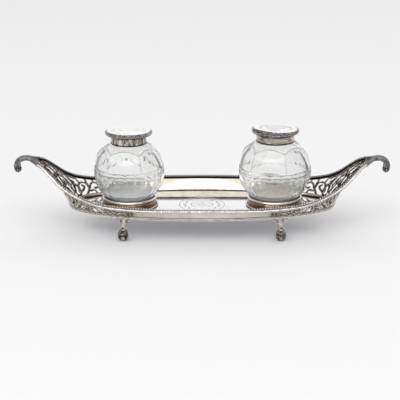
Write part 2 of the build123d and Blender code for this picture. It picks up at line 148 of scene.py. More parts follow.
# Slice through the rim's moulding: distance outside the wall's middle, height over its top edge.
RIM_PROFILE = (
    (1.05, -0.7), (1.28, -0.3), (1.34, 0.1), (1.2, 0.45), (0.95, 0.62), (0.86, 0.75), (0.84, 0.95),
    (0.6, 1.15), (-0.6, 1.15), (-0.84, 0.95), (-0.86, 0.75), (-0.95, 0.62), (-1.2, 0.45),
    (-1.34, 0.1), (-1.28, -0.3), (-1.05, -0.7),
)

# ---- Handles: distance beyond the floor's end, height over the floor, slope, width, thickness
# and dish of the strap from its root to its bud ----
HANDLE = (
    (24.7, 36.2, 0.0, 18.4, 2.4, 3.2),
    (29.1, 38.0, 22.0, 10.6, 2.1, 1.2),
    (32.7, 38.9, 6.0, 7.8, 2.5, 0.5),
    (36.1, 38.7, -12.0, 7.0, 3.0, 0.3),
    (39.2, 37.3, -38.0, 6.2, 3.7, 0.2),
    (41.0, 34.7, -70.0, 5.6, 4.6, 0.1),
    (41.1, 32.0, -96.0, 5.2, 5.3, 0.1),
)
REEDS = 3                    # ridges along each half of the strap
REED_HEIGHT = 0.42
BUD_REACH = 40.7
BUD_HEIGHT = 30.1
BUD_RADIUS = 3.0
BUD_LOBES = 8

# ---- Engraving on the floor ----
MEDALLION_RADIUS = 18.35
MEDALLION_INNER_RADIUS = 9.1
ENGRAVED_LINE = 0.6
ENGRAVED_DEPTH = 0.15
WREATH_RADIUS = 13.9
WREATH_LEAVES = 26
LEAF_LENGTH = 4.6
LEAF_WIDTH = 1.5
ROSETTE_PETALS = 8
ROSETTE_RADIUS = 8.0

# ---- Feet ----
FOOT_X = 62.2
FOOT_Y = 31.0
LEG_TURN = 38.0
BRACKET_TURN = 15.0
BALL_RADIUS = 4.2
BALL_CENTRE = 4.1
STRIDE = 1.7                  # the leg's top stands this far inboard of its ball
BRACKET_STRIDE = 1.7
EYE_REACH = 2.2
EYE_HEIGHT = 15.8
FOOT_VOXEL = 0.2             # grain of the mould in which a foot's shapes flow together

# ---- Bottles and their holders ----
BOTTLE_X = 58.2
BOTTLE_SIZES = {"left": (27.8, 14.1), "right": (28.6, 15.0)}
PANEL_TURN = {"left": 23.0, "right": 16.0}
BASE_RADIUS = 19.9
BASE_HEIGHT = 8.2
GLASS_WALL = 2.1
GLASS_BOTTOM = 7.5
NECK_RADIUS = 12.0
NECK_BORE_RADIUS = 8.5
PANELS = 6
PANEL_DEPTH = 1.9
PANEL_FOOT_DEPTH = 1.1       # at the girdle
ARCH = (39.0, 48.5)          # latitudes of the panels' cusps and of their arched tops
FULLNESS = (0.35, 1.0)       # the uncut glass stands out evenly, and more on the shoulder
SHOULDER = (10.0, 56.0)      # latitudes between which the shoulder is fuller than a ball
GIRDLE_TOP = {"left": 5.1, "right": 3.6}
GIRDLE_HEIGHT = 5.0
THUMB_CUTS = 20
THUMB_DEPTH = 1.0
LOWER_FLUTES = 20
LOWER_FLUTE_DEPTH = 0.45
MITRE_DEPTH = 0.2
MITRE_HALF_WIDTH = 0.8
ARCH_GREY = 0.9              # painted greyness of the cut edges, for the dark lines that refraction draws there
ARRIS_GREY = 0.5
GIRDLE_GREY = 0.1
BASE_CLOUD = 0.8             # cloudiness of the base and of the bottle's inner bottom
INNER_CLOUD = 1.0
CLOUD_HEIGHT = 5.0
HOLDER_BORE = 20.3
HOLDER_OUTSIDE = 21.8
HOLDER_FOOT = 23.0
HOLDER_HEIGHT = 8.0

# ---- Collars, lids and hinges ----
COLLAR_HEIGHT = 7.8
COLLAR_WALL = 0.7
COLLAR_LIP_REACH = 3.2
COLLAR_FOOT_FLARE = 0.9       # of the CAD foot, which sets the collar's height
COLLAR_FOOT = 0.3             # the scallops stand out by this much
COLLAR_SCALLOPS = 64
LID_GAP = 0.1
LID_RADIUS = 18.8
LID_PLATE = 0.8
LID_DOME_HEIGHT = 1.4
LID_DOME_RADIUS = 13.0
LID_MOULDING_HEIGHT = 1.4
LID_MOULDING_WIDTH = 2.0
LID_EDGE_STEP = 0.2
LID_EDGE = 17.2
# The lids' tops don't lie quite level: rise over each millimetre to the right and to the front.
LID_LEAN = {"left": (0.0, 0.03), "right": (-0.04, 0.05)}
# painted dark reflection on the lid moulding's roll
LID_RING_SHADE = {"left": 0.75, "right": 1.0}
LID_TARNISH = {"left": 0.03, "right": 0.22}    # of the domes
LID_RAYS = {"left": 0.3, "right": 1.0}         # strength of the fine rays engraved on the dome
PIN_RADIUS = 0.65
KNUCKLE_RADIUS = 1.5
COLLAR_KNUCKLE_LENGTH = 2.8
LID_KNUCKLE_LENGTH = 3.0
KNUCKLE_GAP = 0.1
HINGE_Y = 20.5
LEAF_THICKNESS = 1.6
LEAF_CLEARANCE = 0.3

CAMERA_ELEVATION = 17.5
CAMERA_DISTANCE = 1200.0
CAMERA_AIM = (-1.6, 0.0, 23.7)
FOCAL_PIXELS = 1492.0
IMAGE_PIXELS = 400
SENSOR_WIDTH = 36.0


# ================= Materials =================

def linear(colour):
    """Linear colour of an sRGB hex value."""
    channels = [int(colour[start:start + 2], 16) / 255 for start in (1, 3, 5)]
    return (*[c / 12.92 if c <= 0.04045 else ((c + 0.055) / 1.055) ** 2.4 for c in channels], 1.0)


def add(tree, kind, inputs=(), **settings):
    """Adds a shader node with its settings, and sets its inputs or links them to sockets."""
    made = tree.nodes.new("ShaderNode" + kind)
    for name, value in settings.items():
        setattr(made, name, value)
    for name, value in dict(inputs).items():
        if isinstance(value, bpy.types.NodeSocket):
            tree.links.new(value, made.inputs[name])
        else:
            made.inputs[name].default_value = value
    return made


def empty_material(name):
    material = bpy.data.materials.new(name)
    material.use_nodes = True
    material.node_tree.nodes.clear()
    return material, material.node_tree


def finish_material(tree, surface):
    add(tree, "OutputMaterial", {"Surface": surface.outputs[0]})


def silver_plate(name, metal, dull, stain_and_shade, roughness, dull_share=0.5, patch_mm=14.0, wave=0.02):
    """Silver plate on nickel silver. Rubbed faces stay bright, and the mesh's stain-and-shade value
    darkens it unevenly: patina in hollows, and painted shade and painted dark reflections. Dull
    patches and the faint unevenness of beaten metal break up its reflections."""
    material, tree = empty_material(name)
    place = add(tree, "TexCoord").outputs["Object"]
    # the mesh's stain-and-shade value: patina, and painted shade and painted dark reflections
    hollow = add(tree, "Attribute", attribute_name="stain_and_shade").outputs["Fac"]
    patches = add(tree, "TexNoise", {"Vector": place, "Scale": 1000 / patch_mm, "Detail": 4.0}).outputs[0]
    grime = add(tree, "TexNoise", {"Vector": place, "Scale": 1000 / 1.1, "Detail": 3.0}).outputs[0]
    dulled = add(tree, "MapRange", {0: patches, 1: 0.42, 2: 0.72, 3: 0.0, 4: dull_share}).outputs[0]
    uneven = add(tree, "MapRange", {0: grime, 1: 0.34, 2: 0.66, 3: 0.4, 4: 1.3}).outputs[0]
    dark = add(tree, "Math", {0: hollow, 1: uneven}, operation="MULTIPLY", use_clamp=True).outputs[0]
    plate = add(tree, "Mix", {0: dulled, 6: linear(metal), 7: linear(dull)}, data_type="RGBA")
    colour = add(tree, "Mix", {0: dark, 6: plate.outputs[2], 7: linear(stain_and_shade)}, data_type="RGBA")
    rough_metal = add(tree, "MapRange", {0: dulled, 1: 0.0, 2: 1.0, 3: roughness, 4: roughness + 0.14})
    rough = add(tree, "Math", {0: dark, 1: 0.32, 2: rough_metal.outputs[0]}, operation="MULTIPLY_ADD")
    scratches = add(tree, "TexNoise", {"Vector": place, "Scale": 1000 / 0.5, "Detail": 2.0}).outputs[0]
    beaten = add(tree, "TexNoise", {"Vector": place, "Scale": 1000 / 9.0, "Detail": 1.0}).outputs[0]
    fine = add(tree, "Bump", {"Height": scratches, "Strength": 0.12, "Distance": 0.00002})
    soft = add(tree, "Bump", {"Height": beaten, "Strength": 1.0, "Distance": wave * MM,
                              "Normal": fine.outputs[0]})
    surface = add(tree, "BsdfPrincipled", {"Base Color": colour.outputs[2], "Metallic": 1.0,
                                           "Roughness": rough.outputs[0], "Normal": soft.outputs[0]})
    finish_material(tree, surface)
    return material


def streaked_collar(name, grain, warm, marking, spots):
    """Silver plate of a neck collar: dark and pale streaks, painted reflections of the room, with
    bright rubbed spots between, and a scalloped foot painted black for the shade line under it."""
    material, tree = empty_material(name)
    place = add(tree, "TexCoord").outputs["Object"]
    hollow = add(tree, "Attribute", attribute_name="stain_and_shade").outputs["Fac"]
    drawn = add(tree, "Mapping", {"Vector": place, "Scale": grain}).outputs[0]
    streaks = add(tree, "TexNoise", {"Vector": drawn, "Scale": 1000 / 1.2, "Detail": 4.0}).outputs[0]
    clouds = add(tree, "TexNoise", {"Vector": place, "Scale": 1000 / 6.0, "Detail": 1.0}).outputs[0]
    clear = add(tree, "MapRange", {0: streaks, 1: 0.4, 2: 0.56}).outputs[0]
    tint = add(tree, "MapRange", {0: clouds, 1: 0.4, 2: 0.6}).outputs[0]
    plate = add(tree, "Mix", {0: tint, 6: linear("#BDB5A8"), 7: linear(warm)}, data_type="RGBA")
    # painted reflections: noise streaks mix the darker marking colour into the plate
    mottled = add(tree, "Mix", {0: clear, 6: linear(marking), 7: plate.outputs[2]}, data_type="RGBA")
    bare = add(tree, "MapRange", {0: streaks, 1: 0.57, 2: 0.63, 4: spots}).outputs[0]
    spotted = add(tree, "Mix", {0: bare, 6: mottled.outputs[2], 7: linear("#FBF8F3")}, data_type="RGBA")
    # black where the mesh's stain-and-shade value is high: painted shade at the foot, patina in the fold
    dark = add(tree, "Mix", {0: hollow, 6: spotted.outputs[2], 7: linear("#0B0908")}, data_type="RGBA")
    bump = add(tree, "Bump", {"Height": streaks, "Strength": 0.5, "Distance": 0.00005})
    surface = add(tree, "BsdfPrincipled", {"Base Color": dark.outputs[2], "Metallic": 1.0,
                                           "Roughness": 0.28, "Normal": bump.outputs[0]})
    finish_material(tree, surface)
    return material


def cut_glass(name, deposit, stain):
    """Old clear glass, cut on a wheel and polished. Its cut edges carry painted grey lines for the
    dark lines that refraction draws there (the mesh's stain-and-shade value, up to 1), and its
    base and its inner bottom are clouded by ink (above 1)."""
    material, tree = empty_material(name)
    place = add(tree, "TexCoord").outputs["Object"]
    marking = add(tree, "Attribute", attribute_name="stain_and_shade").outputs["Fac"]
    swirl = add(tree, "TexNoise", {"Vector": place, "Scale": 1000 / 6.0, "Detail": 2.0}).outputs[0]
    spread = add(tree, "TexNoise", {"Vector": place, "Scale": 1000 / 9.0, "Detail": 3.0}).outputs[0]
    edge = add(tree, "MapRange", {0: marking, 1: 0.0, 2: 1.0}).outputs[0]
    cloud = add(tree, "MapRange", {0: marking, 1: 1.0, 2: 2.0}).outputs[0]
    clear = add(tree, "MapRange", {0: marking, 1: 1.0, 2: 2.0, 3: 0.92, 4: 0.2}).outputs[0]
    mottled = add(tree, "MapRange", {0: spread, 1: 0.4, 2: 0.6}).outputs[0]
    clouded = add(tree, "Mix", {0: mottled, 6: linear(deposit), 7: linear(stain)}, data_type="RGBA")
    # painted grey lines along the cut edges
    glass = add(tree, "Mix", {0: edge, 6: linear("#FDFEFD"), 7: linear("#6E7371")}, data_type="RGBA")
    colour = add(tree, "Mix", {0: cloud, 6: glass.outputs[2], 7: clouded.outputs[2]}, data_type="RGBA")
    bump = add(tree, "Bump", {"Height": swirl, "Strength": 0.4, "Distance": 0.00006})
    surface = add(tree, "BsdfPrincipled", {"Base Color": colour.outputs[2], "Roughness": 0.02, "IOR": 1.4,
                                           "Transmission Weight": clear, "Normal": bump.outputs[0]})
    finish_material(tree, surface)
    return material


def plaster():
    """Matt off-white plaster with a fine grain, which shows through the glass of the neck."""
    material, tree = empty_material("collar_plaster")
    place = add(tree, "TexCoord").outputs["Object"]
    grain = add(tree, "TexNoise", {"Vector": place, "Scale": 1000 / 0.8, "Detail": 4.0}).outputs[0]
    colour = add(tree, "Mix", {0: grain, 6: linear("#DAD4C6"), 7: linear("#EFEAE0")}, data_type="RGBA")
    bump = add(tree, "Bump", {"Height": grain, "Strength": 0.4, "Distance": 0.0001})
    surface = add(tree, "BsdfPrincipled", {"Base Color": colour.outputs[2], "Roughness": 0.85,
                                           "Normal": bump.outputs[0]})
    finish_material(tree, surface)
    return material


# ================= Mesh tools =================

class Mould:
    """Corners, faces and stain-and-shade values of one piece, gathered shape by shape."""

    def __init__(self):
        self.corners = []
        self.faces = []
        self.stain_and_shade = []
        self.count = 0

    def add(self, corners, faces, stain_and_shade=0.0):
        corners = np.asarray(corners, float).reshape(-1, 3)
        self.faces += [[corner + self.count for corner in face] for face in faces]
        self.corners.append(corners)
        self.stain_and_shade.append(np.broadcast_to(np.ravel(stain_and_shade), len(corners)))
        self.count += len(corners)

    def mirrored(self, x=1, y=1):
        """The same piece on the other side of the tray."""
        made = Mould()
        made.add(np.concatenate(self.corners) * (x, y, 1), self.faces, np.concatenate(self.stain_and_shade))
        return made


def cast(name, mould, material, body, nodes, sharp=40.0):
    """Makes a named piece from a mould. It rides on its body and stands for its CAD nodes."""
    mesh = bpy.data.meshes.new(name)
    mesh.from_pydata((np.concatenate(mould.corners) * MM).tolist(), [], mould.faces)
    attribute = mesh.attributes.new("stain_and_shade", "FLOAT", "POINT")
    attribute.data.foreach_set("value", np.concatenate(mould.stain_and_shade).astype(np.float32))
    work = bmesh.new()
    work.from_mesh(mesh)
    bmesh.ops.remove_doubles(work, verts=work.verts, dist=0.001 * MM)
    bmesh.ops.recalc_face_normals(work, faces=work.faces)
    work.to_mesh(mesh)
    work.free()
    mesh.shade_smooth()
    mesh.set_sharp_from_angle(angle=math.radians(sharp))
    mesh.materials.append(material)
    made = bpy.data.objects.new(name, mesh)
    bpy.context.scene.collection.objects.link(made)
    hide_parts(*nodes)
    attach(made, body)
    return made


def grid_faces(columns, rows, closed=False):
    """Four-sided faces of a grid whose corners run column by column, closed to a tube or open."""
    last = columns if closed else columns - 1
    return [(c * rows + r, (c + 1) % columns * rows + r, (c + 1) % columns * rows + r + 1, c * rows + r + 1)
            for c in range(last) for r in range(rows - 1)]


def ring_faces(rings, sides, capped=True):
    """Faces of a skin over rings of corners, with flat ends."""
    faces = [(r * sides + s, r * sides + (s + 1) % sides, (r + 1) * sides + (s + 1) % sides, (r + 1) * sides + s)
             for r in range(rings - 1) for s in range(sides)]
    if capped:
        faces += [tuple(range(sides))[::-1], tuple((rings - 1) * sides + s for s in range(sides))]
    return faces


def smooth(stations, place):
    """Values at any place between stations, on a curve through them. Their first column is the place."""
    table = np.array(stations, float)
    known, values = table[:, 0], table[:, 1:]
    slopes = np.gradient(values, known, axis=0)
    place = np.asarray(place, float)
    left = np.clip(np.searchsorted(known, place) - 1, 0, len(known) - 2)
    step = (known[left + 1] - known[left])[..., None]
    t = (place - known[left])[..., None] / step
    start = (2 * t**3 - 3 * t**2 + 1) * values[left] + (t**3 - 2 * t**2 + t) * step * slopes[left]
    end = (3 * t**2 - 2 * t**3) * values[left + 1] + (t**3 - t**2) * step * slopes[left + 1]
    return start + end


def curve(points, stretches=8):
    """Smooth line through points."""
    numbered = [(number, *point) for number, point in enumerate(points)]
    return smooth(numbered, np.linspace(0, len(points) - 1, stretches * (len(points) - 1) + 1))


def even_steps(line, low, high, step):
    """Values from low to high at which the points of a line lie about one step apart."""
    fine = np.linspace(low, high, 3000)
    lengths = np.linalg.norm(np.diff(line(fine), axis=0), axis=1)
    run = np.concatenate([[0], np.cumsum(lengths)])
    return np.interp(np.linspace(0, run[-1], max(2, round(run[-1] / step) + 1)), run, fine)


def turned(profile, segments, waves=None):
    """Grid of corners of a shape turned about the upright axis from (radius, height) points.
    waves gives each corner's change of radius and height from its angle and its row."""
    outline = np.array(profile, float)
    angles = np.arange(segments) * 2 * math.pi / segments
    radius = np.broadcast_to(outline[:, 0], (segments, len(outline))).copy()
    height = np.broadcast_to(outline[:, 1], (segments, len(outline))).copy()
    if waves:
        more_radius, more_height = waves(angles[:, None], outline[None, :, 0], outline[None, :, 1])
        radius += more_radius
        height += more_height
    return np.stack([radius * np.cos(angles)[:, None], radius * np.sin(angles)[:, None], height], -1)


def add_turned(mould, profile, segments, place=(0, 0, 0), stain_and_shade=0.0, waves=None):
    """Adds a turned shape. Its profile starts and ends on the axis, or is closed to itself."""
    corners = turned(profile, segments, waves) + np.array(place)
    rows = len(profile)
    stain_and_shade = np.broadcast_to(stain_and_shade, (segments, rows))
    mould.add(corners, grid_faces(segments, rows, closed=True), stain_and_shade)


def rounded_profile(profile, radius, steps=4):
    """Closed profile with its corners rounded."""
    points = np.array(profile, float)
    made = []
    for before, corner, after in zip(np.roll(points, 1, 0), points, np.roll(points, -1, 0)):
        back, ahead = before - corner, after - corner
        reach = min(radius, np.linalg.norm(back) / 2, np.linalg.norm(ahead) / 2)
        start = corner + back / np.linalg.norm(back) * reach
        end = corner + ahead / np.linalg.norm(ahead) * reach
        for t in np.linspace(0, 1, steps):
            made.append((1 - t) ** 2 * start + 2 * t * (1 - t) * corner + t**2 * end)
    return made


def ball(radius, segments=10, rows=7):
    """Corners and faces of a small ball."""
    arc = np.linspace(-math.pi / 2, math.pi / 2, rows)
    profile = np.stack([radius * np.cos(arc), radius * np.sin(arc)], -1)
    return turned(profile, segments).reshape(-1, 3), grid_faces(segments, rows, closed=True)


def add_beads(mould, places, radius, stain_and_shade=0.0, shown=None):
    """Adds a row of beads. Their lower halves carry painted shade, and so do their backs,
    if the ways that they show are given."""
    corners, faces = ball(radius)
    # painted shade on each bead's lower half
    low = np.clip(0.55 - corners[:, 2] / radius, 0, 1) * 0.8 + stain_and_shade
    for number, place in enumerate(places):
        # painted shade on each bead's back
        back = 0.0 if shown is None else 2.5 * np.clip(0.5 - corners @ shown[number] / radius, 0, 1)
        mould.add(corners + place, faces, np.maximum(low, back))


def tube(line, radii, sides=10):
    """Rings of corners round a line."""
    line = np.asarray(line, float)
    ahead = np.gradient(line, axis=0)
    ahead /= np.linalg.norm(ahead, axis=1)[:, None]
    side = np.cross(ahead, (0.0, 0.31, 0.95))
    side /= np.linalg.norm(side, axis=1)[:, None]
    up = np.cross(side, ahead)
    turn = np.arange(sides) * 2 * math.pi / sides
    radii = np.broadcast_to(radii, len(line))[:, None, None]
    return line[:, None] + radii * (np.cos(turn)[None, :, None] * side[:, None]
                                    + np.sin(turn)[None, :, None] * up[:, None])


# ================= Gallery wall =================

def folded(angle):
    """Angle from the middle of the nearest long side, 0 to 90 degrees."""
    return np.abs(90 - np.abs(np.abs(angle) - 90))


def slope_length(angle):
    flare, rise, _ = np.moveaxis(smooth(GALLERY, folded(angle)), -1, 0)
    return np.hypot(flare, rise)


def outward(angle):
    """Level unit vector square to the floor's oval. 0 degrees is the middle of the back."""
    turn = np.radians(angle)
    square = np.stack([np.sin(turn) / HALF_LENGTH, np.cos(turn) / HALF_WIDTH, 0 * turn], -1)
    return square / np.linalg.norm(square, axis=-1)[..., None]


def wall(angle, share, depth):
    """Point in the wall at a share of its slope, from its outer face (depth 0) to its inner (1)."""
    angle, share, depth = np.broadcast_arrays(*(np.asarray(value, float) for value in (angle, share, depth)))
    flare, rise, hollow = np.moveaxis(smooth(GALLERY, folded(angle)), -1, 0)
    lean = np.hypot(flare, rise)
    bulge = 4 * share * (1 - share) * hollow
    out = flare * share - bulge * rise / lean - depth * WALL_THICKNESS * lean / rise
    up = rise * share + bulge * flare / lean
    turn = np.radians(angle)
    foot = np.stack([HALF_LENGTH * np.sin(turn), HALF_WIDTH * np.cos(turn), FLOOR_TOP + up], -1)
    return foot + outward(angle) * out[..., None]


def inside_stroke(at, line, start_half, end_half):
    """How far inside a tapering stroke each point lies."""
    halves = np.linspace(start_half, end_half, len(line))
    best = np.full(at.shape[:-1], -99.0)
    for start, end, low, high in zip(line, line[1:], halves, halves[1:]):
        run = end - start
        t = np.clip((at - start) @ run / (run @ run), 0, 1)
        gap = np.linalg.norm(at - start - t[..., None] * run, axis=-1)
        best = np.maximum(best, low + (high - low) * t - gap)
    return best


def openwork(angles, shares):
    """How far inside the metal each point of the wall lies. It is below zero in the openings."""
    at = wall(angles, shares, 0.5)
    length = slope_length(angles)
    solid = np.maximum(SCROLL_START - angles, angles - SCROLL_END) * 1.2
    for near, near_share, near_half, far, far_share, far_half in LEAF_OPENINGS:
        line = wall(np.linspace(near, far, 5), np.linspace(near_share, far_share, 5), 0.5)
        solid = np.minimum(solid, -inside_stroke(at, line, near_half + LEAF_WIDER, far_half + LEAF_WIDER))
    for start_half, end_half, points in OPENWORK:
        angle, share = curve(points, 6).T
        solid = np.maximum(solid, inside_stroke(at, wall(angle, share, 0.5), start_half, end_half))
    solid = np.maximum(solid, BASE_BAND - shares * length)
    solid = np.maximum(solid, TOP_BAND - (1 - shares) * length)
    return np.minimum(solid, HANDLE_ROOT_X - at[..., 0])


def moulding(height):
    """How far the half-round and the fine bead along the foot of the wall stand out."""
    foot = np.sqrt(np.clip(1 - ((height - 0.75) / 0.75) ** 2, 0, 1)) * 0.5
    bead = np.sqrt(np.clip(1 - ((height - 2.15) / 0.3) ** 2, 0, 1)) * 0.22
    return foot + bead


def cut_sheet(keep):
    """Faces of the part of a grid where keep is above zero, cut along its exact edge, with the
    corners as (column, row) places."""
    columns, rows = keep.shape
    number = {}
    places = []
    faces = []

    def corner(key, place):
        if key not in number:
            number[key] = len(places)
            places.append(place)
        return number[key]

    inside = keep > 0
    touched = inside[:-1, :-1] | inside[1:, :-1] | inside[:-1, 1:] | inside[1:, 1:]
    for c, r in zip(*np.nonzero(touched)):
        around = ((c, r), (c + 1, r), (c + 1, r + 1), (c, r + 1))
        face = []
        for start, end in zip(around, around[1:] + around[:1]):
            if inside[start]:
                face.append(corner(start, start))
            if inside[start] != inside[end]:
                low, high = sorted((start, end))
                t = min(0.96, max(0.04, keep[low] / (keep[low] - keep[high])))
                face.append(corner((low, high), (low[0] + (high[0] - low[0]) * t, low[1] + (high[1] - low[1]) * t)))
        if len(face) > 2:
            faces.append(face)
    return np.array(places, float), faces


def wall_rows():
    """Rows up the wall: millimetres through the mouldings at its foot, then even shares."""
    return np.linspace(0, BASE_BAND, 15), 84


def wall_piece(angles, pierced):
    """Thick wall between the first and the last angle, with its openings cut through."""
    foot_rows, upper_rows = wall_rows()
    angles = np.asarray(angles)[:, None]
    length = slope_length(angles)
    foot = foot_rows[None, :] / length
    upper = np.linspace(0, 1, upper_rows)[1:]
    shares = np.concatenate([foot, foot[:, -1:] + (1 - foot[:, -1:]) * upper[None, :]], 1)
    angles = np.broadcast_to(angles, shares.shape)
    keep = openwork(folded(angles), shares) if pierced else np.full(shares.shape, 9.0)
    places, faces = cut_sheet(keep)
    column, row = places[:, 0], places[:, 1]

    def at_place(values):
        """Values of the grid at the corners' places, in line between its points."""
        c0, r0 = np.floor(column).astype(int), np.floor(row).astype(int)
        c1, r1 = np.minimum(c0 + 1, values.shape[0] - 1), np.minimum(r0 + 1, values.shape[1] - 1)
        fc, fr = column - c0, row - r0
        return ((values[c0, r0] * (1 - fc) + values[c1, r0] * fc) * (1 - fr)
                + (values[c0, r1] * (1 - fc) + values[c1, r1] * fc) * fr)

    angle, share = at_place(angles), at_place(shares)
    within = np.clip(at_place(keep) / EDGE_ROUND, 0, 1)
    roundness = np.sqrt(1 - (1 - within) ** 2)
    edge = WALL_EDGE_DEPTH * (1 - roundness)
    stand_out = moulding(share * slope_length(angle)) / WALL_THICKNESS
    outer = wall(angle, share, edge - stand_out)
    inner = wall(angle, share, 1 - edge)
    height = share * slope_length(angle)
    worked = np.clip((folded(angle) - PLAIN_END) / 1.5, 0, 1)
    # painted shade round the edges of the openings, and a dark line along the groove of the foot moulding
    dark = np.maximum((1 - roundness) * 0.95, 0.9 * np.exp(-((height - 1.7) / 0.25) ** 2))
    foliage = np.sin(np.radians(folded(angle) * 130)) * np.sin(height * 1.5 + folded(angle) * 0.9)
    # the worked ends darker outside, in a wavy mottle
    outer_dark = np.maximum(dark, worked * (OUTER_DARKENING + 2.6 * np.clip(foliage - 0.3, 0, 1)))
    above_band = 0.3 + 0.7 * np.clip((height - 2.2) / 0.6, 0, 1)
    inner_dark = np.maximum(dark * (height > 2.5), INNER_DARKENING * worked * above_band)
    inner_dark = np.maximum(inner_dark, 2.5 * np.clip(1.2 - height, 0, 1))
    total = len(places)
    directed = {(a, b) for face in faces for a, b in zip(face, face[1:] + face[:1])}
    sides = [(b, a, a + total, b + total) for a, b in directed if (b, a) not in directed]
    made = Mould()
    made.add(np.concatenate([outer, inner]),
             faces + [[corner + total for corner in reversed(face)] for face in faces] + sides,
             np.concatenate([outer_dark, inner_dark]))
    return made


def make_gallery(metal):
    """Plain panels front and back, and the pierced ends that rise to the handles."""
    plain = even_steps(lambda a: wall(a, 0.5, 0.5), -PLAIN_END, PLAIN_END, 1.2)
    back = wall_piece(plain, pierced=False)
    cast("gallery_panel_back_plate", back, metal, "stand", ["gallery_panel_back"])
    front = back.mirrored(y=-1)
    cast("gallery_panel_front_plate", front, metal, "stand", ["gallery_panel_front"])
    quarter = even_steps(lambda a: wall(a, 0.5, 0.5), PLAIN_END, 90, 0.42)
    whole = np.concatenate([quarter, 180 - quarter[-2::-1]])
    right = wall_piece(whole, pierced=True)
    cast("gallery_end_right_openwork", right, metal, "stand", ["gallery_end_right"])
    left = right.mirrored(x=-1)
    cast("gallery_end_left_openwork", left, metal, "stand", ["gallery_end_left"])


# ================= Rims =================

def rim_line(angle):
    return wall(angle, 1.0, 0.5)


def rim_end_angle():
    """Angle at which the wall's top meets the handle's root."""
    fine = np.linspace(80, 90, 2001)
    return float(np.interp(HANDLE_ROOT_X, rim_line(fine)[:, 0], fine))


def add_strip(mould, line, profile, stain_and_shade):
    """Adds a moulding swept along a line, its profile square to it and upright."""
    ahead = np.gradient(line, axis=0)
    ahead /= np.linalg.norm(ahead, axis=1)[:, None]
    side = np.cross((0, 0, 1), ahead)
    side /= np.linalg.norm(side, axis=1)[:, None]
    up = np.cross(ahead, side)
    outline = np.array(profile, float)
    rings = line[:, None] + outline[None, :, :1] * side[:, None] + outline[None, :, 1:] * up[:, None]
    mould.add(rings, ring_faces(len(line), len(outline)), np.broadcast_to(stain_and_shade, rings.shape[:2]))
    return up


def make_rims(metal):
    """Moulded rims with a row of fine beads along their tops."""
    end = rim_end_angle()
    line = rim_line(even_steps(rim_line, -end, end, 0.8))
    # the inner side is painted nearly black, for the shade and the dark room that it mirrors; the groove under the
    # crest and the lower side are dark, patina with painted shade
    groove = [2.5 if out < -0.5 else 1.0 if 0.7 < height < 1.0 else 0.45 if height < 0.6 else 0.0
              for out, height in RIM_PROFILE]
    rim = Mould()
    add_strip(rim, line, RIM_PROFILE, groove)
    steps = even_steps(rim_line, -end + 0.3, end - 0.3, BEAD_PITCH)
    add_beads(rim, rim_line(steps) + (0, 0, BEAD_HEIGHT), BEAD_RADIUS, 0.0, outward(steps))
    add_beads(rim, rim_line(steps) + 1.25 * outward(steps) - (0, 0, 0.75), 0.4, 0.2)
    cast("rim_back_beading", rim, metal, "stand", ["rim_back"])
    cast("rim_front_beading", rim.mirrored(y=-1), metal, "stand", ["rim_front"])


# ================= Handles =================

def make_handles(metal):
    """Reeded straps that grow from the prows, arch over and end in a hanging bud."""
    numbered = [(number, *station) for number, station in enumerate(HANDLE)]
    steps = np.linspace(0, len(HANDLE) - 1, 61)
    reach, height, slope, width, thickness, dish = smooth(numbered, steps).T
    turn = np.radians(slope)
    across = np.linspace(-1, 1, 49)
    grown = np.clip(steps / 1.2, 0, 1)[:, None]
    reeds = REED_HEIGHT * grown * np.abs(np.cos(across * math.pi * REEDS)) ** 1.5
    hollow = dish[:, None] * (1 - across**2)
    top = thickness[:, None] / 2 - hollow + reeds - REED_HEIGHT * grown
    low = -thickness[:, None] / 2 - hollow - reeds + REED_HEIGHT * grown
    lift = np.concatenate([top, low[:, ::-1]], 1)
    sideways = np.concatenate([across, across[::-1]])[None, :] * width[:, None] / 2
    rings = np.stack([
        HALF_LENGTH + reach[:, None] - lift * np.sin(turn)[:, None],
        sideways,
        FLOOR_TOP + height[:, None] + lift * np.cos(turn)[:, None],
    ], -1)
    # the strap's darkening, more between the reeds: patina in the grooves, and painted shade and dark reflections all
    # over
    dark = 0.4 + 0.6 * grown * (1 - np.abs(np.cos(across * math.pi * REEDS))) ** 1.2
    handle = Mould()
    handle.add(rings, ring_faces(len(steps), 2 * len(across)), np.concatenate([dark, dark[:, ::-1]], 1))
    edge_steps = np.linspace(0, len(HANDLE) - 1, 80)
    e_reach, e_height, e_slope, e_width, e_thickness, _ = smooth(numbered, edge_steps).T
    grow = np.clip(edge_steps / 1.2, 0, 1)
    for side in (-1, 1):
        line = np.stack([HALF_LENGTH + e_reach, side * (e_width / 2 - 0.4 - 0.9 * (1 - grow)),
                         FLOOR_TOP + e_height + 0.15 * grow - 0.1], -1)
        radii = np.interp(edge_steps, (0, 1.5, 4, 6), (1.25, 1.1, 1.05, 1.0))
        handle.add(tube(line, radii, 14), ring_faces(len(line), 14), 0.45)
    arc = np.linspace(-math.pi / 2, math.pi / 2, 33)
    profile = np.stack([BUD_RADIUS * np.cos(arc), BUD_RADIUS * np.sin(arc)], -1)

    def lobes(angle, radius, _):
        return -0.22 * radius * np.abs(np.sin(angle * BUD_LOBES / 2)) ** 6, 0 * angle * radius

    seams = 0.4 + 0.6 * np.abs(np.sin(np.arange(96) * math.pi * BUD_LOBES / 96)) ** 6
    bud_place = (HALF_LENGTH + BUD_REACH, 0, FLOOR_TOP + BUD_HEIGHT)
    add_turned(handle, profile, 96, bud_place, seams[:, None], lobes)
    add_beads(handle, [np.array(bud_place) - (0.3, 0, BUD_RADIUS - 0.2)], 0.6)
    cast("handle_right_strap", handle, metal, "stand", ["handle_right"])
    cast("handle_left_strap", handle.mirrored(x=-1), metal, "stand", ["handle_left"])


# ================= Floor =================

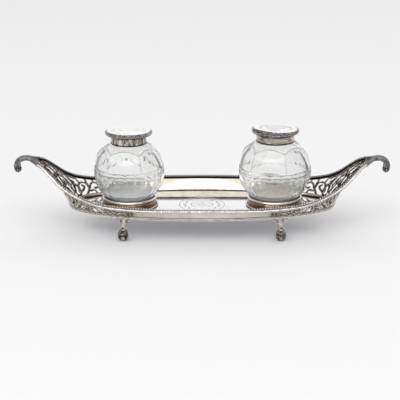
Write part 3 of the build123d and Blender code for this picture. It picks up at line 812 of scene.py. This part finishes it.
def engraving(x, y):
    """Depth of the engraved lines as a share of the deepest: a rosette inside a leaf wreath."""
    radius = np.hypot(x, y)
    angle = np.arctan2(y, x)

    def line(gap, half):
        return np.clip(1 - np.abs(gap) / half, 0, 1)

    cut = line(radius - (MEDALLION_RADIUS - ENGRAVED_LINE / 2), ENGRAVED_LINE / 2)
    cut = np.maximum(cut, line(radius - (MEDALLION_INNER_RADIUS - ENGRAVED_LINE / 2), ENGRAVED_LINE / 2))
    petal = np.abs(np.cos(angle * ROSETTE_PETALS / 2))
    for reach in (1.0, 0.62):
        cut = np.maximum(cut, line(radius - ROSETTE_RADIUS * reach * (0.3 + 0.7 * petal**0.7), 0.22))
    cut = np.maximum(cut, line(radius - 1.5, 0.2))
    spoke = radius * np.abs(np.sin(angle * ROSETTE_PETALS / 2)) * 2 / ROSETTE_PETALS
    veins = (radius > 1.8) & (radius < ROSETTE_RADIUS * 0.9)
    cut = np.maximum(cut, line(spoke, 0.16) * veins)
    for number in range(WREATH_LEAVES):
        middle = number * 2 * math.pi / WREATH_LEAVES
        lean = middle + math.pi / 2 + (0.5 if number % 2 else -0.5)
        leaf_x = x - WREATH_RADIUS * math.cos(middle)
        leaf_y = y - WREATH_RADIUS * math.sin(middle)
        along = leaf_x * math.cos(lean) + leaf_y * math.sin(lean)
        off = leaf_y * math.cos(lean) - leaf_x * math.sin(lean)
        share = np.clip(1 - (2 * along / LEAF_LENGTH) ** 2, 0, 1)
        on_leaf = np.abs(along) < LEAF_LENGTH / 2
        cut = np.maximum(cut, line(np.abs(off) - LEAF_WIDTH / 2 * share, 0.2) * on_leaf)
        cut = np.maximum(cut, line(off, 0.13) * on_leaf)
    return cut


def make_floor(metal):
    """Oval plate, engraved in the middle."""
    segments = 540
    turn = np.arange(segments) * 2 * math.pi / segments
    inner_edge = MEDALLION_RADIUS + 0.6
    rings = np.arange(0, inner_edge, 0.13)
    x = rings[None, :] * np.cos(turn)[:, None]
    y = rings[None, :] * np.sin(turn)[:, None]
    cut = engraving(x, y)
    share = np.concatenate([np.linspace(0, 0.975, 16), [0.985, 1.0]])[None, :]
    out_x = (inner_edge + (HALF_LENGTH - 0.2 - inner_edge) * share) * np.cos(turn)[:, None]
    out_y = (inner_edge + (HALF_WIDTH - 0.2 - inner_edge) * share) * np.sin(turn)[:, None]
    edge_x = np.array([HALF_LENGTH, HALF_LENGTH, 0.0])[None, :] * np.cos(turn)[:, None]
    edge_y = np.array([HALF_WIDTH, HALF_WIDTH, 0.0])[None, :] * np.sin(turn)[:, None]
    x = np.concatenate([x, out_x, edge_x], 1)
    y = np.concatenate([y, out_y, edge_y], 1)
    z = np.full(x.shape, FLOOR_TOP)
    z[:, :cut.shape[1]] -= ENGRAVED_DEPTH * cut
    z[:, -3:] = (FLOOR_TOP - 0.2, FLOOR_UNDERSIDE, FLOOR_UNDERSIDE)
    stain_and_shade = np.zeros(x.shape)
    stain_and_shade[:, :cut.shape[1]] = 0.9 * np.clip(cut * 1.8, 0, 1)
    stain_and_shade[:, -4:-2] = 0.85
    plate = Mould()
    plate.add(np.stack([x, y, z], -1), grid_faces(segments, x.shape[1], closed=True), stain_and_shade)
    cast("tray_floor_engraved", plate, metal, "stand", ["tray_floor"])


# ================= Feet =================

def capsule(start, start_radius, end, end_radius, sides=16, rows=6):
    """Closed tapering rod with round ends."""
    start, end = np.array(start, float), np.array(end, float)
    ahead = end - start
    size = np.linalg.norm(ahead)
    ahead = ahead / size if size > 1e-6 else np.array([0.0, 0.0, 1.0])
    other = np.array([1.0, 0.0, 0.0]) if abs(ahead[0]) < 0.9 else np.array([0.0, 1.0, 0.0])
    side = np.cross(ahead, other)
    side /= np.linalg.norm(side)
    up = np.cross(ahead, side)
    arc = np.linspace(0, math.pi / 2, rows)
    along = np.concatenate([-start_radius * np.cos(arc), size + end_radius * np.sin(arc)])
    across = np.concatenate([start_radius * np.sin(arc), end_radius * np.cos(arc)])
    turn = np.arange(sides) * 2 * math.pi / sides
    corners = (start + along[None, :, None] * ahead
               + across[None, :, None] * (np.cos(turn)[:, None, None] * side + np.sin(turn)[:, None, None] * up))
    return corners, grid_faces(sides, 2 * rows, closed=True)


def add_rod(mould, points):
    """Adds a jointed rod through (x, y, z, radius) points."""
    for start, end in zip(points, points[1:]):
        mould.add(*capsule(start[:3], start[3], end[:3], end[3]))


def turn_about_z(corners, degrees, place=(0, 0, 0)):
    turn = math.radians(degrees)
    spin = np.array([[math.cos(turn), -math.sin(turn), 0], [math.sin(turn), math.cos(turn), 0], [0, 0, 1]])
    return np.asarray(corners) @ spin.T + np.array(place)


def claw_shapes():
    """Ball held from above by four jointed talons, and the leg above it."""
    claw = Mould()
    claw.add(*capsule((0, 0, BALL_CENTRE), BALL_RADIUS, (0, 0, BALL_CENTRE + 0.01), BALL_RADIUS, 40, 14))
    add_rod(claw, ((0, 0.0, 7.8, 2.3), (0, 0.2, 9.2, 1.75), (0, 0.6, 11.0, 1.7), (0, 1.0, 13.2, 1.8),
                   (0, 1.4, 15.4, 1.9), (0, STRIDE, 17.6, 2.0), (0, STRIDE, 18.2, 2.1)))
    for number in range(4):
        talon = Mould()
        add_rod(talon, ((0.9, 0, 8.7, 1.1), (2.5, 0, 7.8, 1.05), (3.8, 0, 6.4, 0.8), (4.3, 0, 5.2, 0.85),
                        (4.4, 0, 3.9, 0.6), (4.1, 0, 2.6, 0.3)))
        claw.add(turn_about_z(np.concatenate(talon.corners), 6 + number * 90), talon.faces)
    return claw


def bracket_shapes():
    """Winged scrolls under the tray that narrow down to the leg, each curled round an eye."""
    bracket = Mould()
    add_rod(bracket, ((-7.4, 0, 18.2, 0.5), (-3.0, 0, 18.2, 0.65), (3.0, 0, 18.2, 0.65), (7.4, 0, 18.2, 0.5)))
    for side in (-1, 1):
        ring = [(side * (EYE_REACH + 1.4 * math.cos(a)), -0.2, EYE_HEIGHT + 1.25 * math.sin(a), 0.55)
                for a in np.linspace(0, 2 * math.pi, 13)]
        add_rod(bracket, ring)
        add_rod(bracket, ((side * 0.9, 0, 13.2, 0.7), (side * 2.4, 0, 13.9, 0.6), (side * 4.4, 0, 15.6, 0.6),
                          (side * 6.6, 0, 17.6, 0.5)))
        add_rod(bracket, ((side * 4.2, 0, 16.6, 0.55), (side * 5.4, 0, 17.2, 0.5)))
    return bracket


def flow_together(mould, voxel, passes):
    """Melts overlapping shapes into one skin, as in a casting."""
    mesh = bpy.data.meshes.new("casting")
    mesh.from_pydata(np.concatenate(mould.corners).tolist(), [], mould.faces)
    work = bmesh.new()
    work.from_mesh(mesh)
    bmesh.ops.remove_doubles(work, verts=work.verts, dist=0.001)
    bmesh.ops.recalc_face_normals(work, faces=work.faces)
    work.to_mesh(mesh)
    work.free()
    rough = bpy.data.objects.new("casting", mesh)
    bpy.context.scene.collection.objects.link(rough)
    remesh = rough.modifiers.new("flow", "REMESH")
    remesh.mode = "VOXEL"
    remesh.voxel_size = voxel
    ease = rough.modifiers.new("ease", "SMOOTH")
    ease.factor = 0.5
    ease.iterations = passes
    done = bpy.data.meshes.new_from_object(rough.evaluated_get(bpy.context.evaluated_depsgraph_get()))
    corners = np.zeros(len(done.vertices) * 3)
    done.vertices.foreach_get("co", corners)
    faces = [tuple(face.vertices) for face in done.polygons]
    bpy.data.objects.remove(rough)
    for used in (mesh, done):
        bpy.data.meshes.remove(used)
    return corners.reshape(-1, 3), faces


def make_feet(metal):
    """Four claw-and-ball feet with winged brackets under the tray's long sides."""
    shapes = Mould()
    claw = claw_shapes()
    shapes.add(turn_about_z(np.concatenate(claw.corners), LEG_TURN), claw.faces)
    bracket = bracket_shapes()
    turn = math.radians(LEG_TURN)
    top = (-BRACKET_STRIDE * math.sin(turn), BRACKET_STRIDE * math.cos(turn), 0)
    shapes.add(turn_about_z(np.concatenate(bracket.corners), BRACKET_TURN, top), bracket.faces)
    corners, faces = flow_together(shapes, FOOT_VOXEL, 3)
    corners[:, 2] = np.clip(corners[:, 2], 0.0, FLOOR_UNDERSIDE)
    from_ball = np.linalg.norm(corners - (0, 0, BALL_CENTRE), axis=1)
    on_ball = np.clip((BALL_RADIUS + 0.25 - from_ball) / 0.3, 0, 1)
    # painted shade: a line under the tray, the ball's top, its sides round the talons and its foot at the floor; the
    # talons and the lower leg are darker too
    under_tray = np.clip((corners[:, 2] - 17.9) / 0.5, 0, 1)
    turned_by = np.arctan2(corners[:, 1], corners[:, 0]) - math.radians(LEG_TURN + 6)
    ball_shade = np.clip((corners[:, 2] - BALL_CENTRE + 0.6) / 1.0, 0, 1)
    ball_shade = np.maximum(ball_shade, np.clip(np.cos(4 * turned_by) + 0.9, 0, 1))
    ball_shade = np.maximum(ball_shade, np.clip(1.3 - corners[:, 2], 0, 1)) * on_ball
    talons = np.clip((9.6 - corners[:, 2]) / 0.8, 0, 1) * (1 - on_ball)
    # painted shade in the brackets' eyes
    eyes = turn_about_z(np.array([(side * EYE_REACH, -0.5, EYE_HEIGHT) for side in (-1, 1)]), BRACKET_TURN, top)
    from_eye = np.linalg.norm(corners[:, None] - eyes, axis=2).min(1)
    shade = 0.05 + 0.9 * under_tray + 0.9 * ball_shade + 0.8 * talons + 1.5 * np.clip((1.3 - from_eye) / 0.5, 0, 1)
    foot = Mould()
    foot.add(corners + (FOOT_X, -FOOT_Y, 0), faces, shade)
    for side, x in (("right", 1), ("left", -1)):
        for end, y in (("front", 1), ("back", -1)):
            node = f"foot_{end}_{side}"
            cast(node + "_casting", foot.mirrored(x=x, y=y), metal, "stand", [node])


# ================= Holder rings =================

def make_holders(metal, lip_metal):
    """Waisted rings, each with a paler rolled lip and a row of beads round its foot."""
    waist = [
        (HOLDER_BORE, 0.0), (HOLDER_FOOT - 0.1, 0.0), (HOLDER_FOOT, 0.25), (HOLDER_FOOT - 0.1, 0.5),
        (HOLDER_FOOT - 0.75, 0.6), (HOLDER_OUTSIDE, 1.3), (HOLDER_OUTSIDE - 0.15, 1.9),
        (HOLDER_OUTSIDE - 0.6, 3.4), (HOLDER_OUTSIDE - 0.7, 4.4), (HOLDER_OUTSIDE - 0.5, 5.6),
        (HOLDER_OUTSIDE - 0.25, 6.3), (HOLDER_OUTSIDE - 0.3, 6.6), (HOLDER_BORE, 6.6), (HOLDER_BORE, 0.0),
    ]
    # darker toward the foot, in the bore and just under the lip: patina, with painted shade under the lip and in the
    # crease above the foot
    shade = np.array([0.8, 0.7, 0.5, 0.8, 1.0, 0.8, 0.5, 0.1, 0.0, 0.4, 1.5, 2.0, 1.0, 0.8])
    lip = [
        (HOLDER_BORE, 6.5), (HOLDER_OUTSIDE - 0.3, 6.5), (HOLDER_OUTSIDE, 6.75), (HOLDER_OUTSIDE + 0.1, 7.2),
        (HOLDER_OUTSIDE, 7.65), (HOLDER_OUTSIDE - 0.3, 7.95), (HOLDER_OUTSIDE - 0.75, HOLDER_HEIGHT),
        (HOLDER_BORE + 0.3, HOLDER_HEIGHT - 0.05), (HOLDER_BORE, HOLDER_HEIGHT - 0.4), (HOLDER_BORE, 6.5),
    ]
    beads = 88
    turn = np.arange(beads) * 2 * math.pi / beads
    bead_radius = HOLDER_FOOT - 0.6
    for side, x in (("left", -BOTTLE_X), ("right", BOTTLE_X)):
        place = np.array((x, 0, FLOOR_TOP))
        ring = Mould()
        add_turned(ring, waist, 144, place, shade[None, :])
        rolled = Mould()
        add_turned(rolled, lip, 144, place)
        row = np.stack([bead_radius * np.cos(turn), bead_radius * np.sin(turn), 0 * turn + 0.95], -1) + place
        add_beads(rolled, row, 0.52)
        node = f"holder_ring_{side}"
        cast(node + "_waist", ring, metal, "stand", [node])
        cast(node + "_lip", rolled, lip_metal, "stand", [])


# ================= Bottles =================

def middle_height(body):
    return BASE_HEIGHT + math.sqrt(body**2 - BASE_RADIUS**2)


def shoulder_height(body, radius):
    return middle_height(body) + math.sqrt(body**2 - radius**2)


def collar_top(body, collar):
    return shoulder_height(body, collar + COLLAR_FOOT_FLARE) + COLLAR_HEIGHT


def cut_radius(side, turn, latitude):
    """Distance of the cut glass from the middle of the body by angle round it and latitude, and
    how grey its cut edges are painted."""
    body = BOTTLE_SIZES[side][0]
    degrees = np.degrees(latitude)
    height = body * np.sin(latitude)
    girdle = GIRDLE_TOP[side]
    above = height > girdle
    swell = np.sin(np.pi * np.clip((degrees - SHOULDER[0]) / (SHOULDER[1] - SHOULDER[0]), 0, 1)) ** 2
    even = np.clip((SHOULDER[1] - degrees) / 8, 0, 1) * np.clip((degrees + 30) / 20, 0, 1)
    radius = body + FULLNESS[0] * even + FULLNESS[1] * swell

    def across(count):
        """-1 to 1 over each of a number of even cuts round the body."""
        pitch = 2 * math.pi / count
        return ((turn + pitch / 2) % pitch - pitch / 2) / (pitch / 2)

    def line(gap, half):
        return np.clip(1 - np.abs(gap) / half, 0, 1)

    rise = np.clip((degrees - ARCH[0]) / (ARCH[1] - ARCH[0]), 0, None)
    grown = np.clip((height - girdle) / 9.0, 0, 1)
    depth = PANEL_FOOT_DEPTH + (PANEL_DEPTH - PANEL_FOOT_DEPTH) * grown
    panel = 1 - across(PANELS) ** 2 - rise
    radius = radius - depth * np.clip(panel, 0, 1) * above
    marking = ARCH_GREY * line(panel, 0.16) * (rise > 0)
    marking = np.maximum(marking, ARRIS_GREY * line(1 - np.abs(across(PANELS)), 0.04) * above * (rise < 1))
    up = (height - girdle + GIRDLE_HEIGHT / 2) / (GIRDLE_HEIGHT / 2 - 0.4)
    radius = radius - THUMB_DEPTH * np.clip(1 - across(THUMB_CUTS) ** 2 - up**2, 0, 1)
    start = np.clip((girdle - GIRDLE_HEIGHT - height) / 2.5, 0, 1)
    finish = np.clip((height + 18) / 4, 0, 1)
    radius = radius - LOWER_FLUTE_DEPTH * (1 - across(LOWER_FLUTES) ** 2) * start * finish
    for cut, line_grey in ((girdle, GIRDLE_GREY), (girdle - GIRDLE_HEIGHT, GIRDLE_GREY / 3)):
        radius = radius - MITRE_DEPTH * line(height - cut, MITRE_HALF_WIDTH)
        marking = np.maximum(marking, line_grey * line(height - cut, 0.5))
    return radius, marking


def make_bottle(side, x, glass):
    """Hollow bottle: six tall arched panels, a girdle of thumb cuts and small flutes below."""
    body, collar = BOTTLE_SIZES[side]
    segments = 480
    panel_turn = (np.arange(segments) * 2 * math.pi / segments)[:, None]
    turn = panel_turn + math.radians(PANEL_TURN[side])
    middle = middle_height(body)
    low = -math.acos(BASE_RADIUS / body)
    high = math.acos(NECK_RADIUS / body)
    latitude = np.linspace(low, high, 200)[None, :]
    reach, marking = cut_radius(side, panel_turn, latitude)
    outer_radius = reach * np.cos(latitude)
    outer_height = middle + reach * np.sin(latitude)
    neck_top = collar_top(body, collar) - COLLAR_WALL
    inner = body - GLASS_WALL
    bottom = -math.asin((middle - GLASS_BOTTOM) / inner)
    inner_arc = np.linspace(math.acos(NECK_BORE_RADIUS / inner), bottom, 60)
    before = [(0.0, 0.6), (BASE_RADIUS - 4.0, 0.6), (BASE_RADIUS - 2.6, 0.0), (BASE_RADIUS - 0.5, 0.0),
              (BASE_RADIUS - 0.12, 0.15), (BASE_RADIUS, 0.6), (BASE_RADIUS, BASE_HEIGHT - 0.4)]
    after = [(NECK_RADIUS, neck_top - 0.4), (NECK_RADIUS - 0.15, neck_top - 0.1), (NECK_RADIUS - 0.6, neck_top),
             (NECK_BORE_RADIUS + 0.5, neck_top), (NECK_BORE_RADIUS, neck_top - 0.5)]
    after += [(inner * math.cos(a), middle + inner * math.sin(a)) for a in inner_arc] + [(0.0, GLASS_BOTTOM)]

    def grid(points, column):
        return np.broadcast_to(np.array(points)[None, :, column], (segments, len(points)))

    radius = np.concatenate([grid(before, 0), outer_radius, grid(after, 0)], 1)
    height = np.concatenate([grid(before, 1), outer_height, grid(after, 1)], 1)
    corners = np.stack([x + radius * np.cos(turn), radius * np.sin(turn), FLOOR_TOP + height], -1)
    base_cloud = np.broadcast_to(1 + BASE_CLOUD * np.array([1.0, 1.0, 0.7, 0.4, 0.0, 0.0, 0.0]),
                                 (segments, len(before)))
    depth = np.clip((GLASS_BOTTOM + CLOUD_HEIGHT - grid(after, 1)) / CLOUD_HEIGHT, 0, 1)
    inner_cloud = np.where(depth > 0, 1 + INNER_CLOUD * np.sqrt(depth), 0)
    bottle = Mould()
    bottle.add(corners, grid_faces(segments, radius.shape[1], closed=True),
               np.concatenate([base_cloud, marking, inner_cloud], 1))
    node = f"bottle_{side}"
    cast(node + "_cut_glass", bottle, glass, node, [node], sharp=10)


# ================= Collars and lids =================

def add_knuckle(mould, x, top, middle, length):
    """Adds a bored knuckle on the hinge's axis."""
    half = length / 2
    profile = rounded_profile([(PIN_RADIUS, -half), (KNUCKLE_RADIUS, -half), (KNUCKLE_RADIUS, half), (PIN_RADIUS, half)], 0.2)
    profile.append(profile[0])
    corners = turned(profile, 32)
    laid = np.stack([corners[..., 2] + x + middle, corners[..., 0] + HINGE_Y,
                     FLOOR_TOP + top - LEAF_CLEARANCE + corners[..., 1]], -1)
    mould.add(laid, grid_faces(32, len(profile), closed=True), 0.15)


def add_block(mould, low, high, stain_and_shade=0.0, chamfer=0.12):
    """Adds a block with chamfered edges."""
    low, high = np.array(low, float), np.array(high, float)
    rings = []
    for z, inset in ((low[2], chamfer), (low[2] + chamfer, 0), (high[2] - chamfer, 0), (high[2], chamfer)):
        x0, y0, x1, y1 = low[0] + inset, low[1] + inset, high[0] - inset, high[1] - inset
        rings.append([(x0, y0, z), (x1, y0, z), (x1, y1, z), (x0, y1, z)])
    mould.add(rings, ring_faces(4, 4), stain_and_shade)


def make_collar(side, x, metal):
    """Band round the bottle's shoulder with a scalloped foot, turned in over the neck."""
    body, collar = BOTTLE_SIZES[side]
    top = collar_top(body, collar)
    inside = collar - COLLAR_WALL
    foot = collar + COLLAR_FOOT
    low = shoulder_height(body, foot)
    lip = inside - COLLAR_LIP_REACH
    seat = shoulder_height(body, inside)
    profile = [
        (inside, seat), (foot - 0.1, low + 0.02), (foot, low + 0.3), (foot - 0.05, low + 0.75), (foot - 0.2, low + 1.0),
        (collar, low + 1.2), (collar, top - 2.2), (collar + 0.14, top - 2.0), (collar + 0.18, top - 1.7),
        (collar + 0.1, top - 1.45), (collar, top - 1.3), (collar, top - 0.25), (collar - 0.25, top), (lip, top),
        (lip, top - COLLAR_WALL), (inside, top - COLLAR_WALL), (inside, seat),
    ]
    # the scalloped foot is painted black for the shade line under the collar; the fold under the bead and the inside
    # are dark too
    shade = [1.0, 1.0, 1.0, 1.0, 0.85, 0.1, 0.0, 0.5, 0.05, 0.1, 0.6, 0.5, 0.3, 0.3, 0.8, 1.0, 1.0]

    def scallops(angle, radius, height):
        near_foot = (radius > collar + 0.05) & (height < low + 1.1)
        dip = np.abs(np.sin(angle * COLLAR_SCALLOPS / 2)) ** 3 * near_foot
        return -0.2 * dip, 0.35 * dip

    band = Mould()
    add_turned(band, profile, 512, (x, 0, FLOOR_TOP), np.array(shade)[None, :], scallops)
    offset = (LID_KNUCKLE_LENGTH + COLLAR_KNUCKLE_LENGTH) / 2 + KNUCKLE_GAP
    half = COLLAR_KNUCKLE_LENGTH / 2
    leaf_top = FLOOR_TOP + top - LEAF_CLEARANCE
    for way in (-1, 1):
        add_knuckle(band, x, top, way * offset, COLLAR_KNUCKLE_LENGTH)
        add_block(band, (x + way * offset - half, collar - COLLAR_WALL / 2, leaf_top - LEAF_THICKNESS),
                  (x + way * offset + half, HINGE_Y - KNUCKLE_RADIUS * 0.7, leaf_top), 0.1)
    node = f"neck_collar_{side}"
    cast(node + "_scalloped", band, metal, f"bottle_{side}", [node])


def lid_face(radius):
    """Height of the lid's top over its rim seat: a low dome inside a flat edge, with turned rings."""
    crown = (LID_DOME_RADIUS**2 + LID_DOME_HEIGHT**2) / (2 * LID_DOME_HEIGHT)
    dome = np.sqrt(crown**2 - np.minimum(radius, LID_DOME_RADIUS) ** 2) - (crown - LID_DOME_HEIGHT)
    groove = sum(np.clip(1 - np.abs(radius - ring) / 0.2, 0, 1) for ring in (13.2, 12.1, 7.6))
    return dome - 0.12 * groove, np.clip(groove, 0, 1)


def leaning(mould, side, x, low):
    """Lets a lid's upper part lean, over an underside that stays level on its collar."""
    right, front = LID_LEAN[side]
    for corners in mould.corners:
        share = np.clip((corners[:, 2] - FLOOR_TOP - low) / (LID_PLATE + LID_MOULDING_HEIGHT), 0, 1)
        reach = np.clip(HINGE_Y - 2 - corners[:, 1], 0, None)
        corners[:, 2] += share * ((corners[:, 0] - x) * right * reach / HINGE_Y + reach * front)


def make_lid(side, x, metal):
    """Low domed lid with turned rings, a row of seeds between them and fine rays, and its knuckle."""
    body, collar = BOTTLE_SIZES[side]
    top = collar_top(body, collar)
    low = top + LID_GAP
    flat = low + LID_PLATE + LID_MOULDING_HEIGHT
    outside = LID_RADIUS - LID_EDGE_STEP
    radii = np.linspace(LID_EDGE, 0.0, 120)
    rise, dark = lid_face(radii)
    profile = [(0.0, low), (outside - 1.0, low), (outside - 0.9, low + 0.15), (outside - 0.9, low + LID_PLATE),
               (LID_EDGE, low + LID_PLATE)]
    profile += list(zip(radii, flat + rise))
    # the underside darkens toward the edge and the plate's edge is painted dark, part of the painted dark band round
    # the lid; the turned rings are dark with patina, and the domes by LID_TARNISH
    shade = np.concatenate([[0.05, 0.2, 0.4, 0.7, 0.8], 0.9 * dark + LID_TARNISH[side] * (radii < LID_DOME_RADIUS)])

    def worked(angle, radius, height):
        on_top = height > low + LID_PLATE + 0.1
        seeds = np.clip(1 - ((radius - 12.65) / 0.42) ** 2, 0, 1) * np.abs(np.sin(angle * 55))
        rays = np.clip((radius - 7.9) / 1.5, 0, 1) * np.clip((12.0 - radius) / 0.4, 0, 1)
        cut = rays * np.abs(np.sin(angle * 45)) ** 3
        return 0 * angle * radius, on_top * (0.1 * seeds - 0.06 * LID_RAYS[side] * cut)

    lid = Mould()
    add_turned(lid, profile, 660, (x, 0, FLOOR_TOP), shade[None, :], worked)
    leaning(lid, side, x, low)
    add_knuckle(lid, x, top, 0.0, LID_KNUCKLE_LENGTH)
    half = LID_KNUCKLE_LENGTH / 2
    add_block(lid, (x - half, outside - 2.0, FLOOR_TOP + low), (x + half, HINGE_Y + 0.4, FLOOR_TOP + low + LID_PLATE), 0.1)
    node = f"lid_{side}"
    cast(node + "_turned", lid, metal, node, [node])


def make_lid_moulding(side, x, metal):
    """Ring round the lid's edge: a cove and a roll painted dark for the dark room that they mirror, bright along the
    top edge, and a row of beads in a groove.
    """
    low = collar_top(*BOTTLE_SIZES[side]) + LID_GAP
    high = low + LID_PLATE + LID_MOULDING_HEIGHT
    roll = LID_RADIUS
    roll_shade = LID_RING_SHADE[side]
    # values of 1.0 paint the cove and the roll dark, for the dark room that they mirror
    outline = [
        (LID_EDGE, low + 0.1, 1.0), (roll - 0.85, low, 1.0), (roll - 0.45, low + 0.05, 1.0), (roll - 0.7, low + 0.2, 1.0),
        (roll - 0.7, low + 0.85, 1.0), (roll - 0.2, low + 1.0, 1.0), (roll - 0.02, low + 1.2, roll_shade),
        (roll, low + 1.4, roll_shade), (roll - 0.12, low + 1.62, roll_shade), (roll - 0.45, low + 1.75, 1.0),
        (roll - 0.8, low + 1.8, 1.0), (roll - 1.1, low + 1.95, 1.0), (roll - 1.3, high - 0.02, 1.0),
        (roll - 1.5, high, 0.3), (LID_EDGE, high, 0.0), (LID_EDGE, low + 0.1, 1.0),
    ]
    profile = [point[:2] for point in outline]
    shade = [point[2] for point in outline]
    ring = Mould()
    add_turned(ring, profile, 192, (x, 0, FLOOR_TOP), np.array(shade)[None, :])
    beads = 110
    turn = np.arange(beads) * 2 * math.pi / beads
    reach = LID_RADIUS - 0.5
    row = np.stack([x + reach * np.cos(turn), reach * np.sin(turn), 0 * turn + FLOOR_TOP + low + 0.5], -1)
    add_beads(ring, row, 0.42, 0.2)
    leaning(ring, side, x, low)
    node = f"lid_moulding_{side}"
    cast(node + "_beaded", ring, metal, f"lid_{side}", [node])


# ================= Stage, light and camera =================

def make_stage():
    """Wide pale floor, a large soft light high in front, and a pale studio round it that is dark
    behind the camera, which gives polished silver its dark edges."""
    mesh = bpy.data.meshes.new("studio_floor")
    reach = 9.0
    mesh.from_pydata([(-reach, -reach, 0), (reach, -reach, 0), (reach, reach, 0), (-reach, reach, 0)], [], [(0, 1, 2, 3)])
    floor = bpy.data.objects.new("studio_floor", mesh)
    bpy.context.scene.collection.objects.link(floor)
    material, tree = empty_material("studio_floor_paper")
    surface = add(tree, "BsdfPrincipled", {"Base Color": linear("#F2F2F4"), "Roughness": 0.9})
    finish_material(tree, surface)
    mesh.materials.append(material)

    world = bpy.data.worlds.new("studio")
    bpy.context.scene.world = world
    world.use_nodes = True
    tree = world.node_tree
    tree.nodes.clear()
    way = add(tree, "SeparateXYZ", {0: add(tree, "TexCoord").outputs["Generated"]})
    behind = add(tree, "MapRange", {0: way.outputs[1], 1: 0.05, 2: 0.75}, interpolation_type="SMOOTHSTEP")
    above = add(tree, "MapRange", {0: way.outputs[2], 1: 0.42, 2: 0.66}, interpolation_type="SMOOTHSTEP")
    room = add(tree, "Mix", {0: behind.outputs[0], 6: linear("#423E3A"), 7: linear("#FFFFFF")}, data_type="RGBA")
    sky = add(tree, "Mix", {0: above.outputs[0], 6: room.outputs[2], 7: linear("#FFFFFF")}, data_type="RGBA")
    ray = add(tree, "LightPath")
    lit = add(tree, "Mix", {0: ray.outputs["Is Diffuse Ray"], 6: sky.outputs[2], 7: linear("#CFCCCA")},
              data_type="RGBA")
    seen = add(tree, "Mix", {0: ray.outputs["Is Transmission Ray"], 6: lit.outputs[2], 7: linear("#F2F2F3")},
               data_type="RGBA")
    light = add(tree, "Background", {"Color": seen.outputs[2], "Strength": 1.0})
    add(tree, "OutputWorld", {"Surface": light.outputs[0]})

    area_light("soft_key", (-0.4, -2.5, 2.3), (4.0, 1.2), 39.0)
    area_light("soft_top", (0.0, -1.7, 2.9), (6.4, 1.5), 32.0)
    area_light("soft_back", (0.5, 2.6, 3.0), (3.0, 1.6), 17.0)


def area_light(name, place, size, power):
    """Soft box that faces the tray."""
    lamp = bpy.data.lights.new(name, "AREA")
    lamp.shape = "RECTANGLE"
    lamp.size, lamp.size_y = size
    lamp.energy = power
    lamp.color = (0.975, 0.99, 1.0)
    box = bpy.data.objects.new(name, lamp)
    bpy.context.scene.collection.objects.link(box)
    box.location = place
    box.rotation_mode = "QUATERNION"
    box.rotation_quaternion = box.location.to_track_quat("Z", "Y")


def make_camera():
    data = bpy.data.cameras.new("camera")
    data.sensor_width = SENSOR_WIDTH
    data.lens = FOCAL_PIXELS / IMAGE_PIXELS * SENSOR_WIDTH
    camera = bpy.data.objects.new("camera", data)
    bpy.context.scene.collection.objects.link(camera)
    elevation = math.radians(CAMERA_ELEVATION)
    distance = CAMERA_DISTANCE * MM
    aim = [value * MM for value in CAMERA_AIM]
    camera.location = (aim[0], aim[1] - distance * math.cos(elevation), aim[2] + distance * math.sin(elevation))
    camera.rotation_euler = (math.pi / 2 - elevation, 0, 0)
    data.clip_start = 0.05
    data.clip_end = 50
    bpy.context.scene.camera = camera


def dress(nodes, material):
    """Gives CAD nodes that stay in view their finish."""
    for name in nodes:
        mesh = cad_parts[name].data
        mesh.materials.clear()
        mesh.materials.append(material)


def build():
    # the tray's floor: almost white, wiped to a mirror
    bright = silver_plate("polished_silver_plate", "#F1F1F2", "#E2E1E1", "#3A322C", 0.07, 0.4, 22.0, 0.01)
    # the gallery: hand-rubbed, dull in patches, with painted shade round the piercing
    satin = silver_plate("rubbed_silver_plate", "#F3EDDE", "#D6CCB6", "#35281C", 0.11, 0.6, 9.0, 0.03)
    # the rims: rubbed bright along the crest, black in the grooves, and painted black on their inner side for shade and
    # dark reflections
    crest = silver_plate("beaded_silver_plate", "#F8F6F2", "#DAD5CE", "#141110", 0.12, 0.7, 5.0, 0.01)
    # the handles: darkened all over, patina with painted dark reflections, bright only on their ridges
    dark_strap_plate = silver_plate("dark_strap_silver_plate", "#ABA8A5", "#4D4A47", "#0F0E0D", 0.12, 0.9, 2.5, 0.06)
    # the feet: cast and polished, so that the balls mirror the table
    cast_metal = silver_plate("cast_silver_plate", "#D3CCC1", "#8F877C", "#14100D", 0.08, 0.6, 4.0, 0.03)
    # the lids: turned on a lathe, nearly white
    mount = silver_plate("turned_silver_mount", "#F5F4F2", "#E0DEDB", "#17150F", 0.08, 0.4, 8.0, 0.01)
    # the holder rings: toned brown by heat and ink, with a paler rubbed lip
    toned = silver_plate("brown_toned_plate", "#AC8E73", "#7C5C43", "#2C1E16", 0.22, 0.9, 5.0, 0.03)
    bands = {
        "left": streaked_collar("worn_streaked_plate", (1.0, 1.0, 0.3), "#DDD3C8", "#5E564D", 1.0),
        "right": streaked_collar("worn_ringed_plate", (0.3, 0.3, 1.5), "#E2D0C9", "#A09689", 0.4),
    }
    clear_glass = {
        "left": cut_glass("old_cut_glass", "#F3F6F2", "#EDEFEA"),
        "right": cut_glass("ink_stained_glass", "#EEE8DB", "#DDD3C2"),
    }
    make_gallery(satin)
    make_rims(crest)
    make_handles(dark_strap_plate)
    make_floor(bright)
    make_feet(cast_metal)
    make_holders(toned, crest)
    for side, x in (("left", -BOTTLE_X), ("right", BOTTLE_X)):
        make_bottle(side, x, clear_glass[side])
        make_collar(side, x, bands[side])
        make_lid(side, x, mount)
        make_lid_moulding(side, x, mount)
    dress(["hinge_pin_left", "hinge_pin_right"], mount)
    dress(["collar_cement_left", "collar_cement_right"], plaster())
    make_stage()
    make_camera()
    bpy.context.scene.view_settings.view_transform = "Standard"


build()
